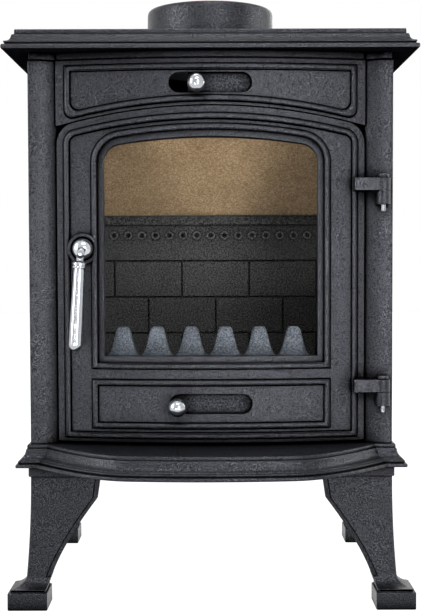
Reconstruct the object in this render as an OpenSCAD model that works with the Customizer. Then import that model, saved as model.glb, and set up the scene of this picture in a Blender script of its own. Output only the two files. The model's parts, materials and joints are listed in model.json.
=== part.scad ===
// Small cast iron room stove with a bowed, arch-topped door on four corner legs.
// X runs to the right, Y away from the viewer and Z up. The origin is on the floor,
// at the centre of the stove's footprint.

/* [Overall] */
// How far the hob plate stands out past each side
side_overhang = 23.5; // [16:0.5:32]
// Depth of the hob plate
hob_d = 330; // [325:1:345]
// Width of the column at each side of the front
column_w = 28; // [26:0.5:34]
// How far the base's bow stands ahead of the hob plate
base_reach = 68; // [60:1:76]
// Height of the legs, up to the underside of the base casting
leg_h = 145.8; // [130:0.2:165]

/* [Front] */
// Radius of the bow that the door and the front share
bow_r = 690; // [660:5:740]
// Radius of the arch over the door
arch_r = 650; // [600:5:720]
// Width of the door
door_w = 320; // [290:1:360]
// Height of the door at its crown
door_h = 346.8; // [310:0.2:400]
// Thickness of the door casting
door_t = 9; // [7.5:0.5:10]
// Width of the door's stile at each side of the window
stile_w = 49; // [44:0.5:60]
// Height of the door's rail over the window, at the crown
rail_h = 30.8; // [26:0.2:40]
// Height of the fixed panel over the door, at the crown
panel_h = 49.7; // [47:0.1:60]

/* [Air slides] */
// Length of each air slot
slot_w = 86; // [74:1:92]
// Height of each air slot
slot_h = 21; // [18:0.5:22]

/* [Flue] */
// Bore of the flue collar, for a 125 mm flue pipe
flue_bore = 129; // [124:0.5:132]
// Height of the collar above the hob plate
collar_h = 49; // [42:1:60]

/* [Handle] */
// Length of the lever, from its hub's centre to its tip
lever_l = 104.5; // [92:0.5:112]
// How far the lever leans from the vertical, in degrees
lever_tilt = 3.3; // [0:0.1:6]

/* [Hidden] */

// General values
over = 2;            // overrun of a cut past the face that it opens
seat = 0.3;          // gap between curved faces that only meet
run_gap = 0.08;      // radial play of a turning pin in its bore
wide_fn = 360;       // facets of the large bow cylinders
round_fn = 48;       // facets of turned pieces
bolt_fn = 24;        // facets of bolt shanks

// Widths and heights that follow the door
door_half = door_w / 2;
door_edge = 0.8;
front_half = door_half + door_edge;
frame_gap = 0.2;
body_half = front_half + frame_gap + column_w;
body_w = 2 * body_half;
hob_w = body_w + 2 * side_overhang;
base_t = 23.7;
base_top = leg_h + base_t;
door_lift = 3;
door_bottom = base_top + door_lift;
door_top = door_bottom + door_h;
body_top = door_top + panel_h;

// Hob plate
hob_t = 21.5;
hob_edge_in = 12.6;
skirt_h = 7;
hob_under = body_top + skirt_h;
hob_h = hob_under + hob_t;
hob_front = base_reach - (hob_d + base_reach) / 2;
hob_rear = hob_front + hob_d;
front_overhang = 25;
rear_overhang = 15;
skirt_gap = 1.6;
skirt_groove = 2;
skirt_wall = 12;
skirt_in = 1;
rim_bead = 4.4;
rim_groove = 1.2;
rim_lip = 1;
rim_cove_in = 2;
rim_neck = 0.6;
rim_neck_h = 2;
rim_fillet = 2.8;

// Body
body_front = hob_front + front_overhang;
body_rear = hob_rear - rear_overhang;
side_wall = 7;
column_dip = 7.5;
column_wall = 8;
column_flat = 15;
column_flat_share = 0.22;
rear_flange_w = 22;
rear_flange_t = 8;
layer_lap = 0.3;

// Front bow
bow_lead = 14;
bow_nose = body_front - bow_lead;
bow_cy = bow_nose + bow_r;
front_depth = 60;
bead_w = 5.4;
bead_step = 1.1;
bead_ridge = 2.5;
bead_shoulder = 1.2;
crevice_w = 1.2;
crevice_depth = 1.5;

// Door
door_corner = 22;
least_corner = 1;
door_gap = 1.4;
door_bead_in = 7.6;
door_bead_bottom = 4.2;
door_back_r = bow_r - door_t;
window_half = door_half - stile_w;
window_rise = 89;
window_bottom = door_bottom + window_rise;
window_top = door_top - rail_h;
window_h = window_top - window_bottom;
window_corner = 19;
window_lip = 7;
window_lip_cut = 2.2;
window_bead_out = window_lip + bead_w;
low_panel_half = window_half + window_bead_out;
low_panel_rise = 14.4;
low_panel_bottom = door_bottom + low_panel_rise;
low_panel_h = 50.2;
glass_pad = 14;
glass_pad_proud = 0.9;
glass_pad_y = bow_cy - sqrt(pow(door_back_r, 2) - pow(window_half + glass_pad, 2)) + glass_pad_proud;
glass_t = 4;
glass_tape_t = 2;
glass_lap = 8.5;
clip_w = 16;
clip_in = 2.5;
clip_foot_play = 0.4;
clip_t = 2.5;
clip_screw_r = 2;
clip_head_r = 3.6;
clip_head_t = 2;
clip_screw_hold = 6;
clip_reach = 11;
clip_tail = 9;
clip_low_share = 0.2;
clip_high_share = 0.72;
tape_in = 1;
tape_w = 6;
rope_in = 7.5;
rope_w = 7;
rope_bottom_in = 2.6;
rope_groove = 3;
rope_proud = 0.7;

// Front frame
frame_t = 7;
frame_r = door_back_r - rope_proud - seat;
frame_back_r = frame_r - frame_t;
opening_in = 18;
opening_half = door_half - opening_in;
opening_rise = 11.5;
opening_bottom = door_bottom + opening_rise;
opening_drop = 16;
opening_top = door_top - opening_drop;
opening_corner = 14;
panel_wall = 5.2;
panel_margin = 9.5;
panel_top_in = 7;
panel_corner = 9;
panel_bead_drop = 5.2;
panel_edge_wall = 4.5;
panel_side_wall = 12;
frame_lug_t = 6;
frame_lug_h = 20;
frame_lug_w = 14;

// Air slides
slide_t = 3;
slide_play = 0.4;
slide_lap = 1.5;
slide_r = bow_r - panel_wall - seat;
slide_h = slot_h + 2 * slide_lap;
top_slot_drop = 32.9;
top_slot_z = hob_under - top_slot_drop;
low_slot_rise = 39.9;
low_slot_z = door_bottom + low_slot_rise;
slide_over = 7;
guide_foot = 5;
guide_lip = 1.5;
guide_t = 2;
guide_past_slot = 22;
guide_half = slot_w / 2 + guide_past_slot;
guide_screw_r = 1.5;
guide_head_r = 2.4;
guide_head_t = 1.8;
guide_screw_share = 0.8;
guide_screw_hold = 3;
top_slide_shift = 20;
top_knob_x = -14;
low_knob_x = -34.4;
knob_drop = 2;
knob_stem_r = 3.2;
knob_tenon_r = 2.2;
knob_tenon_past = 1;
knob_r = 9;
knob_reach = 20;
top_travel = [22, 50];

// Hinges
pin_in = 11;
pin_x = body_half - pin_in;
pin_ahead = 8;
pin_y = body_front - pin_ahead;
pin_r = 3;
knuckle_r = 7.4;
arm_h = 12.7;
lug_h = 14;
lug_gap = 0.5;
pin_head_r = 6;
pin_head_h = 3.9;
pin_tail = 7.7;
pin_tip_r = 2.5;
upper_hinge_rise = 260.2;
upper_hinge_z = door_bottom + upper_hinge_rise;
lower_hinge_rise = 51.9;
lower_hinge_z = door_bottom + lower_hinge_rise;
arm_back = 4.5;
arm_front = 6;
arm_root = 12;
lug_depth = 12;

// Handle and latch
handle_in = 27.5;
handle_x = -door_half + handle_in;
handle_rise = 200.8;
handle_z = door_bottom + handle_rise;
handle_set = 7.5;
handle_face = bow_nose + handle_set;
boss_r = 15.8;
boss_ring = 3;
boss_sink = 2.5;
boss_depth = 12;
hub_r = 10.9;
hub_base = 4;
hub_dome = 9;
spindle_r = 5;
neck_r = 3.6;
neck_l = 20;
lever_out = 25;
collar_r = 7.4;
collar_t = 7.5;
collar_neck_r = 5;
collar_edge = 2;
grip_top_r = 6.2;
grip_end_r = 7.2;
tongue_t = 6;
tongue_w = 15;
tongue_reach = 22.5;
tongue_hub_r = 6.5;
tongue_gap = 0.8;
latch_play = 2;
tongue_y = bow_cy - sqrt(pow(frame_back_r, 2) - pow(handle_x - tongue_reach, 2)) + tongue_gap;
nut_t = 6;
nut_r = 7.5;

// Flue collar and blanking plate
collar_wall = 7.5;
flue_ledge = 3;
collar_back = 15;
collar_y = (hob_front + hob_rear) / 2 + collar_back;
collar_flange_r = 92;
collar_flange_t = 8;
collar_lip = 1;
collar_round = 2;
collar_taper = 0.4;
collar_rim_h = 7;
collar_bolt_pcd = 164;
collar_bolt_r = 3;
collar_bolts_n = 3;
outlet_drop = 84;
outlet_z = hob_under - outlet_drop;
outlet_r = 64.5;
blank_r = 72;
blank_t = 6;
blank_bolt_x = 82;
blank_lug_r = 9;
blank_plug_t = 7;

// Legs
leg_flange_h = 10;
leg_flange_w = 76;
leg_flange_lip = 2;
leg_front_out = 4;
leg_front = body_front - leg_front_out;
leg_rear_in = 8;
leg_rear = body_rear - leg_rear_in;
leg_top_w = 73;
leg_kink_w = 69.5;
leg_kink_z = 112.5;
leg_ankle_w = 21;
leg_ankle_z = 31;
leg_curve_bulge = 7;
leg_flare = 4.2;
leg_web = 9;
leg_web_z = 30;
foot_w = 41;
foot_h = 21;
foot_out = 22;
foot_step = 3;
foot_step_in = 2.5;
foot_neck_z = 34;
leg_bevel = 4;
leg_bevel_t = 3;
leg_bevel_steps = 3;
leg_hole_in = 30;
leg_bolt_r = 4;
leg_head_h = 5.3;
leg_head_r = 7.5;
leg_bolt_l = 22;

// Base casting
base_out = 14.5;
base_half = body_half + base_out;
base_nose = hob_front - base_reach;
base_corner_out = 13;
base_corner_y = body_front - base_corner_out;
base_bow_r = 715;
base_shoulder_in = 123.5;
base_shoulder_x = base_half - base_shoulder_in;
base_sweep_in = 21.5;
base_sweep_x = base_half - base_sweep_in;
sweep_turn = 84.5;
base_rear_out = 4;
base_rear = body_rear + base_rear_out;
base_bead_h = 4.7;
base_step_h = 1.2;
base_ogee_h = 9.4;
base_top_h = 4;
ogee_steps = 5;
bead_in_share = 0.1;
neck_in_share = 0.2;
ogee_low_share = 0.25;
ogee_span_share = 0.4;
land_in_share = 0.66;
fillet_in_share = 0.72;
top_in_share = 0.92;
base_floor_t = 9;
base_floor_in = 24;
runner_h = 15;
runner_w = 8;
runner_in = 23;

// Firebox
rod_in = 14;
rod_x = body_half - rod_in;
rod_rear_in = 100;
rod_rear_y = body_rear - rod_rear_in;
rod_r = 3;
rod_boss_r = 6.5;
rod_boss_h = 18;
rod_nut_h = 5;
rod_nut_r = 6.4;
shelf_rise = 48;
shelf_z = base_top + shelf_rise;
shelf_t = 8;
shelf_play = 1;
shelf_half = body_half - side_wall - shelf_play;
shelf_front_in = 30;
shelf_front = body_front + shelf_front_in;
shelf_rear = body_rear - rear_flange_t - side_wall - seat;
rod_front_in = 60;
rod_front_y = shelf_front + rod_front_in;
ledge_h = 8;
ledge_w = 12;
grate_side_in = 61;
grate_half = body_half - grate_side_in;
grate_front_in = 22;
grate_front = shelf_front + grate_front_in;
grate_rear_in = 46;
grate_rear = shelf_rear - grate_rear_in;
grate_t = 10;
grate_lip = 6;
grate_play = 1;
grate_slots = 11;
grate_slot_share = 0.5;
grate_rim = 12;
liner_t = 7;
liner_in = 32;
liner_half = body_half - liner_in;
liner_rear_in = 38;
liner_rear = body_rear - liner_rear_in;
liner_drop = 161;
liner_top = hob_under - liner_drop;
liner_low = shelf_z + shelf_t;
liner_bar_h = 11;
liner_bar_proud = 3;
brick_w = 84;
brick_shift_share = 0.07;
brick_h = 45;
brick_joint = 2.4;
brick_joint_depth = 1.6;
air_hole_r = 3;
air_hole_rim_r = 5.2;
air_hole_rim_t = 1.2;
air_hole_pitch = 17.2;
air_holes = 15;
air_hole_drop = 24.5;
side_liner_t = 8;
fence_in = 6;
fence_y = shelf_front + fence_in;
fence_t = 7;
fence_side_in = 17;
fence_half = liner_half - fence_side_in;
fence_h = 64;
fence_top = shelf_z + shelf_t + fence_h;
fence_valley = 31;
fence_pitch = 36.6;
fence_teeth = 6;
fence_shift = -2.8;
tooth_crown = 4.3;
tooth_round = 2;
tooth_flare = 6.8;
tooth_foot_share = 0.82;
fence_foot_w = 14;
baffle_t = 20;
baffle_edge_in = 2;
baffle_half = liner_half + side_liner_t - baffle_edge_in;
baffle_low_z = liner_top + seat;
baffle_rise = 98;
baffle_run = 158;
pan_side_in = 71;
pan_half = body_half - pan_side_in;
runner_x = pan_half - runner_in;
pan_front_in = 6;
pan_front = shelf_front + pan_front_in;
pan_rear_in = 52;
pan_rear = shelf_rear - pan_rear_in;
pan_h = 30;
pan_wall = 2;
pan_lip = 5;
pan_gap = 0.4;

// Bolts of the body
bolt_r = 3;
bolt_head_r = 5.6;
bolt_head_h = 4;
bolt_l = 16;
bolt_in = 35;
back_bolt_end = 2;
frame_bolt_side_in = 6;
frame_bolt_x = front_half - frame_bolt_side_in;
frame_bolt_hold = 4;

iron = "#3a3b3e";
iron_dark = "#2c2d30";
chrome = "#c9ccd1";
steel = "#8b8e92";
board = "#a98a62";

// Points of a circular arc from angle a to angle b
function arc(cx, cy, r, a, b, n) =
    [for (i = [0:n]) let (turn = a + (b - a) * i / n) [cx + r * cos(turn), cy + r * sin(turn)]];

// Outline of a panel with an arched top and rounded upper corners, in X and Z
function arched(half, low, high, rad, corner) =
    let (cz = high - rad, fx = half - corner, reach = rad - corner)
    let (fz = cz + sqrt(reach * reach - fx * fx), phi = acos(fx / reach))
    concat([[-half, low], [half, low]], arc(fx, fz, corner, 0, phi, 8),
        arc(0, cz, rad, phi, 180 - phi, 24), arc(-fx, fz, corner, 180 - phi, 180, 8));

// Outline of the fixed panel over the door, whose lower edge follows the arch
function over_arch(half, top, crown, rad, corner) =
    let (cz = crown - rad, fx = half - corner, reach = rad + corner)
    let (fz = cz + sqrt(reach * reach - fx * fx), phi = acos(fx / reach))
    concat([[-half, top], [half, top]], arc(fx, fz, corner, 0, phi - 180, 8),
        arc(0, cz, rad, phi, 180 - phi, 24), arc(-fx, fz, corner, -phi, -180, 8));

function rect(half, low, high) = [[-half, low], [half, low], [half, high], [-half, high]];

// Outline of a slot with round ends
function slot(length, height, z) = concat(
    arc((length - height) / 2, z, height / 2, -90, 90, 12),
    arc(-(length - height) / 2, z, height / 2, 90, 270, 12));

// Y of the bow of radius rad at a place across the front
function bow_y(rad, x) = bow_cy - sqrt(rad * rad - x * x);

// Pushes an outline in X and Z through the depth from y0 to y1
module through(points, y0, y1) {
    translate([0, y1, 0]) rotate([90, 0, 0]) linear_extrude(height = y1 - y0) polygon(points);
}

// A curved sheet between two radii of the bow
module bow_sheet(inner, outer, z0, z1) {
    translate([0, bow_cy, z0]) difference() {
        cylinder(r = outer, h = z1 - z0, $fn = wide_fn);
        translate([0, 0, -over]) cylinder(r = inner, h = z1 - z0 + 2 * over, $fn = wide_fn);
    }
}

// The part of a curved sheet inside an outline
module bowed(points, inner, outer) {
    heights = [for (p = points) p[1]];
    intersection() {
        bow_sheet(inner, outer, min(heights) - over, max(heights) + over);
        through(points, bow_nose - front_depth / 2, bow_nose + front_depth);
    }
}

// A raised double bead between an outline and the same outline drawn in
module bead(outer_pts, ridge_out, ridge_in, inner_pts) {
    difference() {
        bowed(outer_pts, bow_r - bead_step, bow_r + bead_step);
        through(inner_pts, bow_nose - front_depth, bow_nose + front_depth);
    }
    difference() {
        bowed(ridge_out, bow_r - bead_step, bow_r + bead_ridge);
        through(ridge_in, bow_nose - front_depth, bow_nose + front_depth);
    }
}

// The sunk crevices along both sides of a bead
module crevices(outside, outer_pts, inner_pts, inside) {
    difference() {
        bowed(outside, bow_r - crevice_depth, bow_r + over);
        through(outer_pts, bow_nose - front_depth, bow_nose + front_depth);
    }
    difference() {
        bowed(inner_pts, bow_r - crevice_depth, bow_r + over);
        through(inside, bow_nose - front_depth, bow_nose + front_depth);
    }
}

// An upright cylinder from z0 to z1
module post(x, y, z0, z1, r, facets = bolt_fn) {
    translate([x, y, z0]) cylinder(r = r, h = z1 - z0, $fn = facets);
}

// A cylinder along Y from y0 to y1
module turned_y(x, y0, y1, z, r, facets = round_fn) {
    translate([x, y1, z]) rotate([90, 0, 0]) cylinder(r = r, h = y1 - y0, $fn = facets);
}

// Base casting
function base_front(inset) =
    let (nose = base_nose + inset, corner = base_corner_y + inset)
    let (shoulder = nose + base_bow_r - sqrt(pow(base_bow_r, 2) - pow(base_shoulder_x, 2)))
    concat([[base_half - inset, corner]],
        [for (i = [0:10]) let (t = i / 10)
            [base_sweep_x - inset + (base_shoulder_x - base_sweep_x + inset) * t,
             corner + (shoulder - corner) * sin(sweep_turn * t) / sin(sweep_turn)]],
        [for (i = [1:19]) let (x = base_shoulder_x * (1 - i / 10))
            [x, nose + base_bow_r - sqrt(pow(base_bow_r, 2) - x * x)]],
        [for (i = [10:-1:0]) let (t = i / 10)
            [-(base_sweep_x - inset + (base_shoulder_x - base_sweep_x + inset) * t),
             corner + (shoulder - corner) * sin(sweep_turn * t) / sin(sweep_turn)]],
        [[-(base_half - inset), corner]]);

function base_outline(inset) = concat(base_front(inset),
    [[-(base_half - inset), base_rear - inset], [base_half - inset, base_rear - inset]]);

module base_layer(z0, z1, inset) {
    translate([0, 0, z0 - layer_lap])
        linear_extrude(height = z1 - z0 + layer_lap) polygon(base_outline(inset));
}

module base_plate() {
    bead_top = leg_h + base_bead_h;
    ogee_low = bead_top + base_step_h;
    ogee_top = ogee_low + base_ogee_h;
    step_in = base_half - body_half;
    color(iron) difference() {
        union() {
            base_layer(leg_h + layer_lap, leg_h + base_bead_h / 4, step_in * bead_in_share);
            base_layer(leg_h + base_bead_h / 4, bead_top - base_bead_h / 4, 0);
            base_layer(bead_top - base_bead_h / 4, bead_top, step_in * bead_in_share);
            base_layer(bead_top, ogee_low, step_in * neck_in_share);
            for (i = [1:ogee_steps]) {
                in_share = ogee_low_share + ogee_span_share * (1 - cos(90 * i / ogee_steps));
                base_layer(ogee_low + base_ogee_h * (i - 1) / ogee_steps,
                    ogee_low + base_ogee_h * i / ogee_steps, step_in * in_share);
            }
            base_layer(ogee_top, base_top - base_top_h, step_in * land_in_share);
            base_layer(base_top - base_top_h, base_top - base_top_h / 4, step_in * fillet_in_share);
            base_layer(base_top - base_top_h / 4, base_top, step_in * top_in_share);
            for (s = [-1, 1])
                translate([s * runner_x - runner_w / 2, pan_front, base_top - over])
                    cube([runner_w, pan_rear - pan_front, runner_h + over]);
        }
        translate([0, 0, leg_h - over]) difference() {
            linear_extrude(height = base_t - base_floor_t + over) polygon(base_outline(base_floor_in));
            for (sx = [-1, 1], y = [leg_front, leg_rear - leg_flange_w])
                translate([sx > 0 ? body_half - leg_flange_w - over : -body_half - over, y, -over])
                    cube([leg_flange_w + 2 * over, leg_flange_w, base_t + 2 * over]);
            for (sx = [-1, 1], y = [rod_front_y, rod_rear_y])
                post(sx * rod_x, y, -over, base_t + over, rod_boss_r, round_fn);
        }
        for (p = leg_bolt_places())
            post(p[0], p[1], leg_h - over, base_top - base_floor_t / 2, leg_bolt_r);
        for (sx = [-1, 1], y = [rod_front_y, rod_rear_y])
            post(sx * rod_x, y, leg_h - over, base_top + over, rod_r + seat);
    }
}

// Legs
function leg_edge() = let (dx = leg_kink_w - leg_ankle_w, dz = leg_kink_z - leg_ankle_z)
    let (chord = sqrt(dx * dx + dz * dz))
    [for (i = [0:12]) let (t = i / 12, b = leg_curve_bulge * 4 * t * (1 - t))
        [leg_kink_w - dx * t - b * dz / chord, leg_kink_z - dz * t + b * dx / chord - b]];

// Half of the outer flare, from the flange down to the foot
function leg_outer() = [for (i = [0:10]) let (t = i / 10)
    [-leg_flare * pow(t, 2), foot_neck_z + (leg_h - leg_flange_h - foot_neck_z) * (1 - t)]];

function foot_flare() = [for (i = [0:6]) let (a = 90 * i / 6)
    [-leg_flare - (foot_out - foot_step_in - leg_flare) * (1 - cos(a)),
     foot_neck_z - (foot_neck_z - foot_h) * sin(a)]];

function leg_profile(trim) = concat(
    leg_outer(), foot_flare(),
    [[-foot_out + foot_step_in, foot_h - over], [foot_w - foot_out - foot_step_in, foot_h - over],
     [leg_ankle_w - foot_step_in - trim, foot_neck_z - foot_step]],
    [for (i = [12:-1:0]) let (p = leg_edge()[i]) [p[0] - trim, p[1] + trim / 3]],
    [[leg_top_w - trim, leg_h - leg_flange_h]]);

// The leg's front view pushed back through its depth, with a bevel along the inner edge
module leg_slabs() {
    for (i = [0:leg_bevel_steps])
        rotate([90, 0, 90]) translate([0, 0, i == 0 ? -foot_out : leg_bevel_t * i / leg_bevel_steps])
            linear_extrude(height = leg_top_w + (i == 0 ? foot_out : -leg_bevel_t * i / leg_bevel_steps))
                polygon(leg_profile(leg_bevel * (1 - i / leg_bevel_steps)));
}

// One leg with its corner at the origin, its two faces running inwards along X and Y
module leg_shape() {
    intersection() {
        mirror([1, -1, 0]) leg_slabs();
        leg_slabs();
        union() {
            translate([-foot_out, -foot_out, 0]) cube([foot_w, foot_w, leg_web_z]);
            difference() {
                translate([-foot_out, -foot_out, 0])
                    cube([leg_top_w + foot_out, leg_top_w + foot_out, leg_h]);
                translate([leg_web, leg_web, leg_web_z])
                    cube([leg_top_w, leg_top_w, leg_h]);
            }
        }
    }
    translate([-foot_out, -foot_out, 0]) cube([foot_w, foot_w, foot_h - foot_step]);
    translate([-foot_out + foot_step_in, -foot_out + foot_step_in, foot_h - foot_step - over])
        cube([foot_w - 2 * foot_step_in, foot_w - 2 * foot_step_in, foot_step + over]);
    translate([-leg_flange_lip, -leg_flange_lip, leg_h - leg_flange_h])
        cube([leg_flange_w, leg_flange_w, leg_flange_h]);
}

function leg_bolt_places() = [for (sx = [-1, 1], y = [leg_front + leg_hole_in, leg_rear - leg_hole_in])
    [sx * (body_half - leg_hole_in), y]];

module leg(sx, rear) {
    color(iron) difference() {
        translate([sx * body_half, rear ? leg_rear : leg_front, 0])
            mirror([sx > 0 ? 1 : 0, 0, 0]) mirror([0, rear ? 1 : 0, 0]) leg_shape();
        post(sx * (body_half - leg_hole_in), rear ? leg_rear - leg_hole_in : leg_front + leg_hole_in,
            leg_web_z + over, leg_h + over, leg_bolt_r + seat);
    }
}

module leg_bolts() {
    color(steel) for (p = leg_bolt_places())
        translate([p[0], p[1], leg_h - leg_flange_h - leg_head_h]) {
            cylinder(r = leg_head_r, h = leg_head_h, $fn = 6);
            cylinder(r = leg_bolt_r, h = leg_bolt_l, $fn = bolt_fn);
        }
}

// Side castings, each with the coved front column and the rear flange
function cove(n) = [for (i = [0:n]) let (t = i / n)
    [column_flat + (column_w - column_flat) * t,
     column_dip * (column_flat_share + (1 - column_flat_share) * sin(90 * t))]];

// Plan of a side casting, with its outer faces drawn in by an inset
function side_plan(inset) = concat(
    [[inset, inset]], [for (p = cove(8)) [p[0], p[1] + inset]],
    [[column_w, column_dip + column_wall], [column_flat, column_dip + column_wall],
     [side_wall, column_dip + column_wall + side_wall],
     [side_wall, body_rear - body_front - rear_flange_t],
     [rear_flange_w, body_rear - body_front - rear_flange_t],
     [rear_flange_w, body_rear - body_front - inset], [inset, body_rear - body_front - inset]]);

module side_shape(sx) {
    lug_y = bow_y(frame_back_r, front_half) + seat;
    difference() {
        translate([sx * body_half, body_front, base_top]) mirror([sx > 0 ? 1 : 0, 0, 0]) {
            linear_extrude(height = body_top - base_top - skirt_gap) polygon(side_plan(0));
            linear_extrude(height = body_top - base_top) polygon(side_plan(skirt_groove));
            translate([side_wall - over, shelf_front - body_front, shelf_z - ledge_h - base_top])
                cube([ledge_w + over, shelf_rear - shelf_front, ledge_h]);
            for (z = frame_bolt_zs())
                translate([side_wall - over, lug_y - body_front, z - frame_lug_h / 2 - base_top])
                    cube([column_w - side_wall + over + frame_lug_w, frame_lug_t, frame_lug_h]);
        }
        for (y = [rod_front_y, rod_rear_y])
            post(sx * rod_x, y, shelf_z - ledge_h - over, shelf_z + over, rod_r + seat);
        for (p = back_bolt_places())
            turned_y(p[0], body_rear - rear_flange_t - over, body_rear - back_bolt_end, p[1],
                bolt_r, bolt_fn);
        for (z = frame_bolt_zs())
            turned_y(sx * frame_bolt_x, lug_y - over, lug_y + frame_lug_t + over, z, bolt_r, bolt_fn);
    }
}

function frame_bolt_zs() = [base_top + bolt_in, body_top - 2 * bolt_in];

module side_left() {
    color(iron) side_shape(-1);
}

module side_right() {
    color(iron) difference() {
        union() {
            side_shape(1);
            for (z = [upper_hinge_z, lower_hinge_z]) {
                post(pin_x, pin_y, z - lug_h - lug_gap, z - lug_gap, knuckle_r, round_fn);
                translate([pin_x - knuckle_r, pin_y, z - lug_h - lug_gap])
                    cube([2 * knuckle_r, lug_depth, lug_h]);
            }
        }
        for (z = [upper_hinge_z, lower_hinge_z])
            post(pin_x, pin_y, z - lug_h - lug_gap - over, z - lug_gap + over, pin_r, round_fn);
    }
}

module hinge_pins() {
    color(steel) for (z = [upper_hinge_z, lower_hinge_z]) {
        lug_low = z - lug_h - lug_gap;
        head_low = z + arm_h + lug_gap / 2;
        post(pin_x, pin_y, head_low, head_low + pin_head_h, pin_head_r, round_fn);
        post(pin_x, pin_y, lug_low - over, head_low + lug_gap, pin_r, round_fn);
        post(pin_x, pin_y, lug_low - pin_tail, lug_low, pin_tip_r, round_fn);
    }
}

// Back casting with its blanked rear outlet
module back_plate() {
    plate_half = body_half - side_wall - shelf_play;
    color(iron) difference() {
        union() {
            translate([-plate_half, body_rear - rear_flange_t - side_wall, base_top])
                cube([2 * plate_half, side_wall, body_top - base_top]);
            translate([-body_half + rear_flange_w + shelf_play, body_rear - rear_flange_t - over, base_top])
                cube([body_w - 2 * (rear_flange_w + shelf_play), over + side_wall / 2, body_top - base_top]);
            turned_y(0, body_rear - rear_flange_t - over, body_rear, outlet_z, outlet_r + blank_plug_t);
            for (sx = [-1, 1])
                turned_y(sx * blank_bolt_x, body_rear - rear_flange_t - over, body_rear,
                    outlet_z, blank_lug_r);
        }
        turned_y(0, body_rear - body_w, body_rear + over, outlet_z, outlet_r);
        for (sx = [-1, 1])
            turned_y(sx * blank_bolt_x, body_rear - body_w / 4, body_rear + over, outlet_z,
                bolt_r, bolt_fn);
        for (p = back_bolt_places())
            turned_y(p[0], body_rear - body_w / 4, body_rear + over, p[1], bolt_r, bolt_fn);
    }
}

function back_bolt_places() = [for (sx = [-1, 1], z = [base_top + bolt_in, body_top - bolt_in])
    [sx * (body_half - rear_flange_w + bolt_head_r + shelf_play), z]];

module hex_y(x, y, z, r, h) {
    translate([x, y, z]) rotate([-90, 0, 0]) cylinder(r = r, h = h, $fn = 6);
}

module back_bolts() {
    color(steel) for (p = back_bolt_places()) {
        hex_y(p[0], body_rear - rear_flange_t - side_wall - bolt_head_h, p[1], bolt_head_r, bolt_head_h);
        turned_y(p[0], body_rear - rear_flange_t - side_wall - bolt_head_h / 2,
            body_rear - back_bolt_end, p[1], bolt_r, bolt_fn);
    }
}

module rear_blanking_plate() {
    color(iron) difference() {
        union() {
            turned_y(0, body_rear, body_rear + blank_t, outlet_z, blank_r);
            turned_y(0, body_rear - blank_plug_t, body_rear + over, outlet_z, outlet_r - seat);
            for (sx = [-1, 1])
                turned_y(sx * blank_bolt_x, body_rear, body_rear + blank_t, outlet_z, blank_lug_r);
            translate([-blank_bolt_x, body_rear, outlet_z - blank_lug_r])
                cube([2 * blank_bolt_x, blank_t, 2 * blank_lug_r]);
        }
        for (sx = [-1, 1])
            turned_y(sx * blank_bolt_x, body_rear - over, body_rear + blank_t + over, outlet_z,
                bolt_r, bolt_fn);
    }
}

module blanking_bolts() {
    color(steel) for (sx = [-1, 1]) {
        hex_y(sx * blank_bolt_x, body_rear + blank_t, outlet_z, bolt_head_r, bolt_head_h);
        turned_y(sx * blank_bolt_x, body_rear - bolt_l, body_rear + blank_t + bolt_head_h / 2, outlet_z,
            bolt_r, bolt_fn);
    }
}

// Hob plate with a moulded rim on all four sides
function rim_points(half) = concat(
    [[half - hob_edge_in, hob_t]],
    [[half - hob_edge_in + rim_lip, hob_t - rim_fillet]],
    arc(half - rim_bead, hob_t - rim_fillet, hob_edge_in - rim_bead - rim_cove_in, 180, 270, 6),
    [[half - rim_bead / 2 - rim_neck, rim_bead + rim_groove + rim_neck_h],
     [half - rim_bead / 2, rim_bead + rim_groove], [half - rim_bead / 2 - rim_neck, rim_bead]],
    arc(half - rim_bead / 2, rim_bead / 2, rim_bead / 2, 90, -90, 6));

function plate_section(half) = concat(rim_points(half),
    [for (p = [for (i = [len(rim_points(half)) - 1:-1:0]) rim_points(half)[i]]) [-p[0], p[1]]]);

module hob_slab() {
    mid = (hob_front + hob_rear) / 2;
    intersection() {
        translate([0, hob_rear + over, hob_under]) rotate([90, 0, 0])
            linear_extrude(height = hob_d + 2 * over) polygon(plate_section(hob_w / 2));
        translate([-hob_w, mid, hob_under]) rotate([90, 0, 90])
            linear_extrude(height = 2 * hob_w) polygon(plate_section(hob_d / 2));
    }
}

// Plan outline of the body's front, from the right side to the left, drawn in by an inset
function cove_plan(inset) =
    [for (p = cove(6)) [body_half - p[0] - inset * p[0] / column_w / 2, body_front + p[1] + inset]];

function front_plan(inset) = concat(
    [[body_half - inset, body_front + inset]], cove_plan(inset),
    [for (i = [1:23]) let (x = front_half * (1 - i / 12)) [x, bow_y(bow_r, x) + inset]],
    [for (i = [6:-1:0]) let (p = cove_plan(inset)[i]) [-p[0], p[1]]],
    [[-(body_half - inset), body_front + inset]]);

// Plan outline of the skirt under the hob
function skirt_plan(inset) = concat(front_plan(inset),
    [[inset - body_half, body_rear - inset], [body_half - inset, body_rear - inset]]);

module skirt() {
    difference() {
        linear_extrude(height = skirt_h) polygon(skirt_plan(skirt_in));
        translate([0, 0, -over]) linear_extrude(height = skirt_h + 2 * over) polygon(skirt_plan(skirt_wall));
    }
}

module top_plate() {
    color(iron) difference() {
        union() {
            hob_slab();
            translate([0, 0, hob_under - skirt_h]) skirt();
            for (sx = [-1, 1], y = [rod_front_y, rod_rear_y])
                post(sx * rod_x, y, hob_under - rod_boss_h, hob_under + over, rod_boss_r, round_fn);
        }
        post(0, collar_y, hob_under - over, hob_h + over, flue_bore / 2 - flue_ledge, wide_fn);
        for (p = collar_bolt_places())
            post(p[0], p[1], hob_under - over, hob_h + over, collar_bolt_r);
        for (sx = [-1, 1], y = [rod_front_y, rod_rear_y])
            post(sx * rod_x, y, hob_under - rod_boss_h - over, hob_under + hob_t / 2 - over, rod_r);
    }
}

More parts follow.
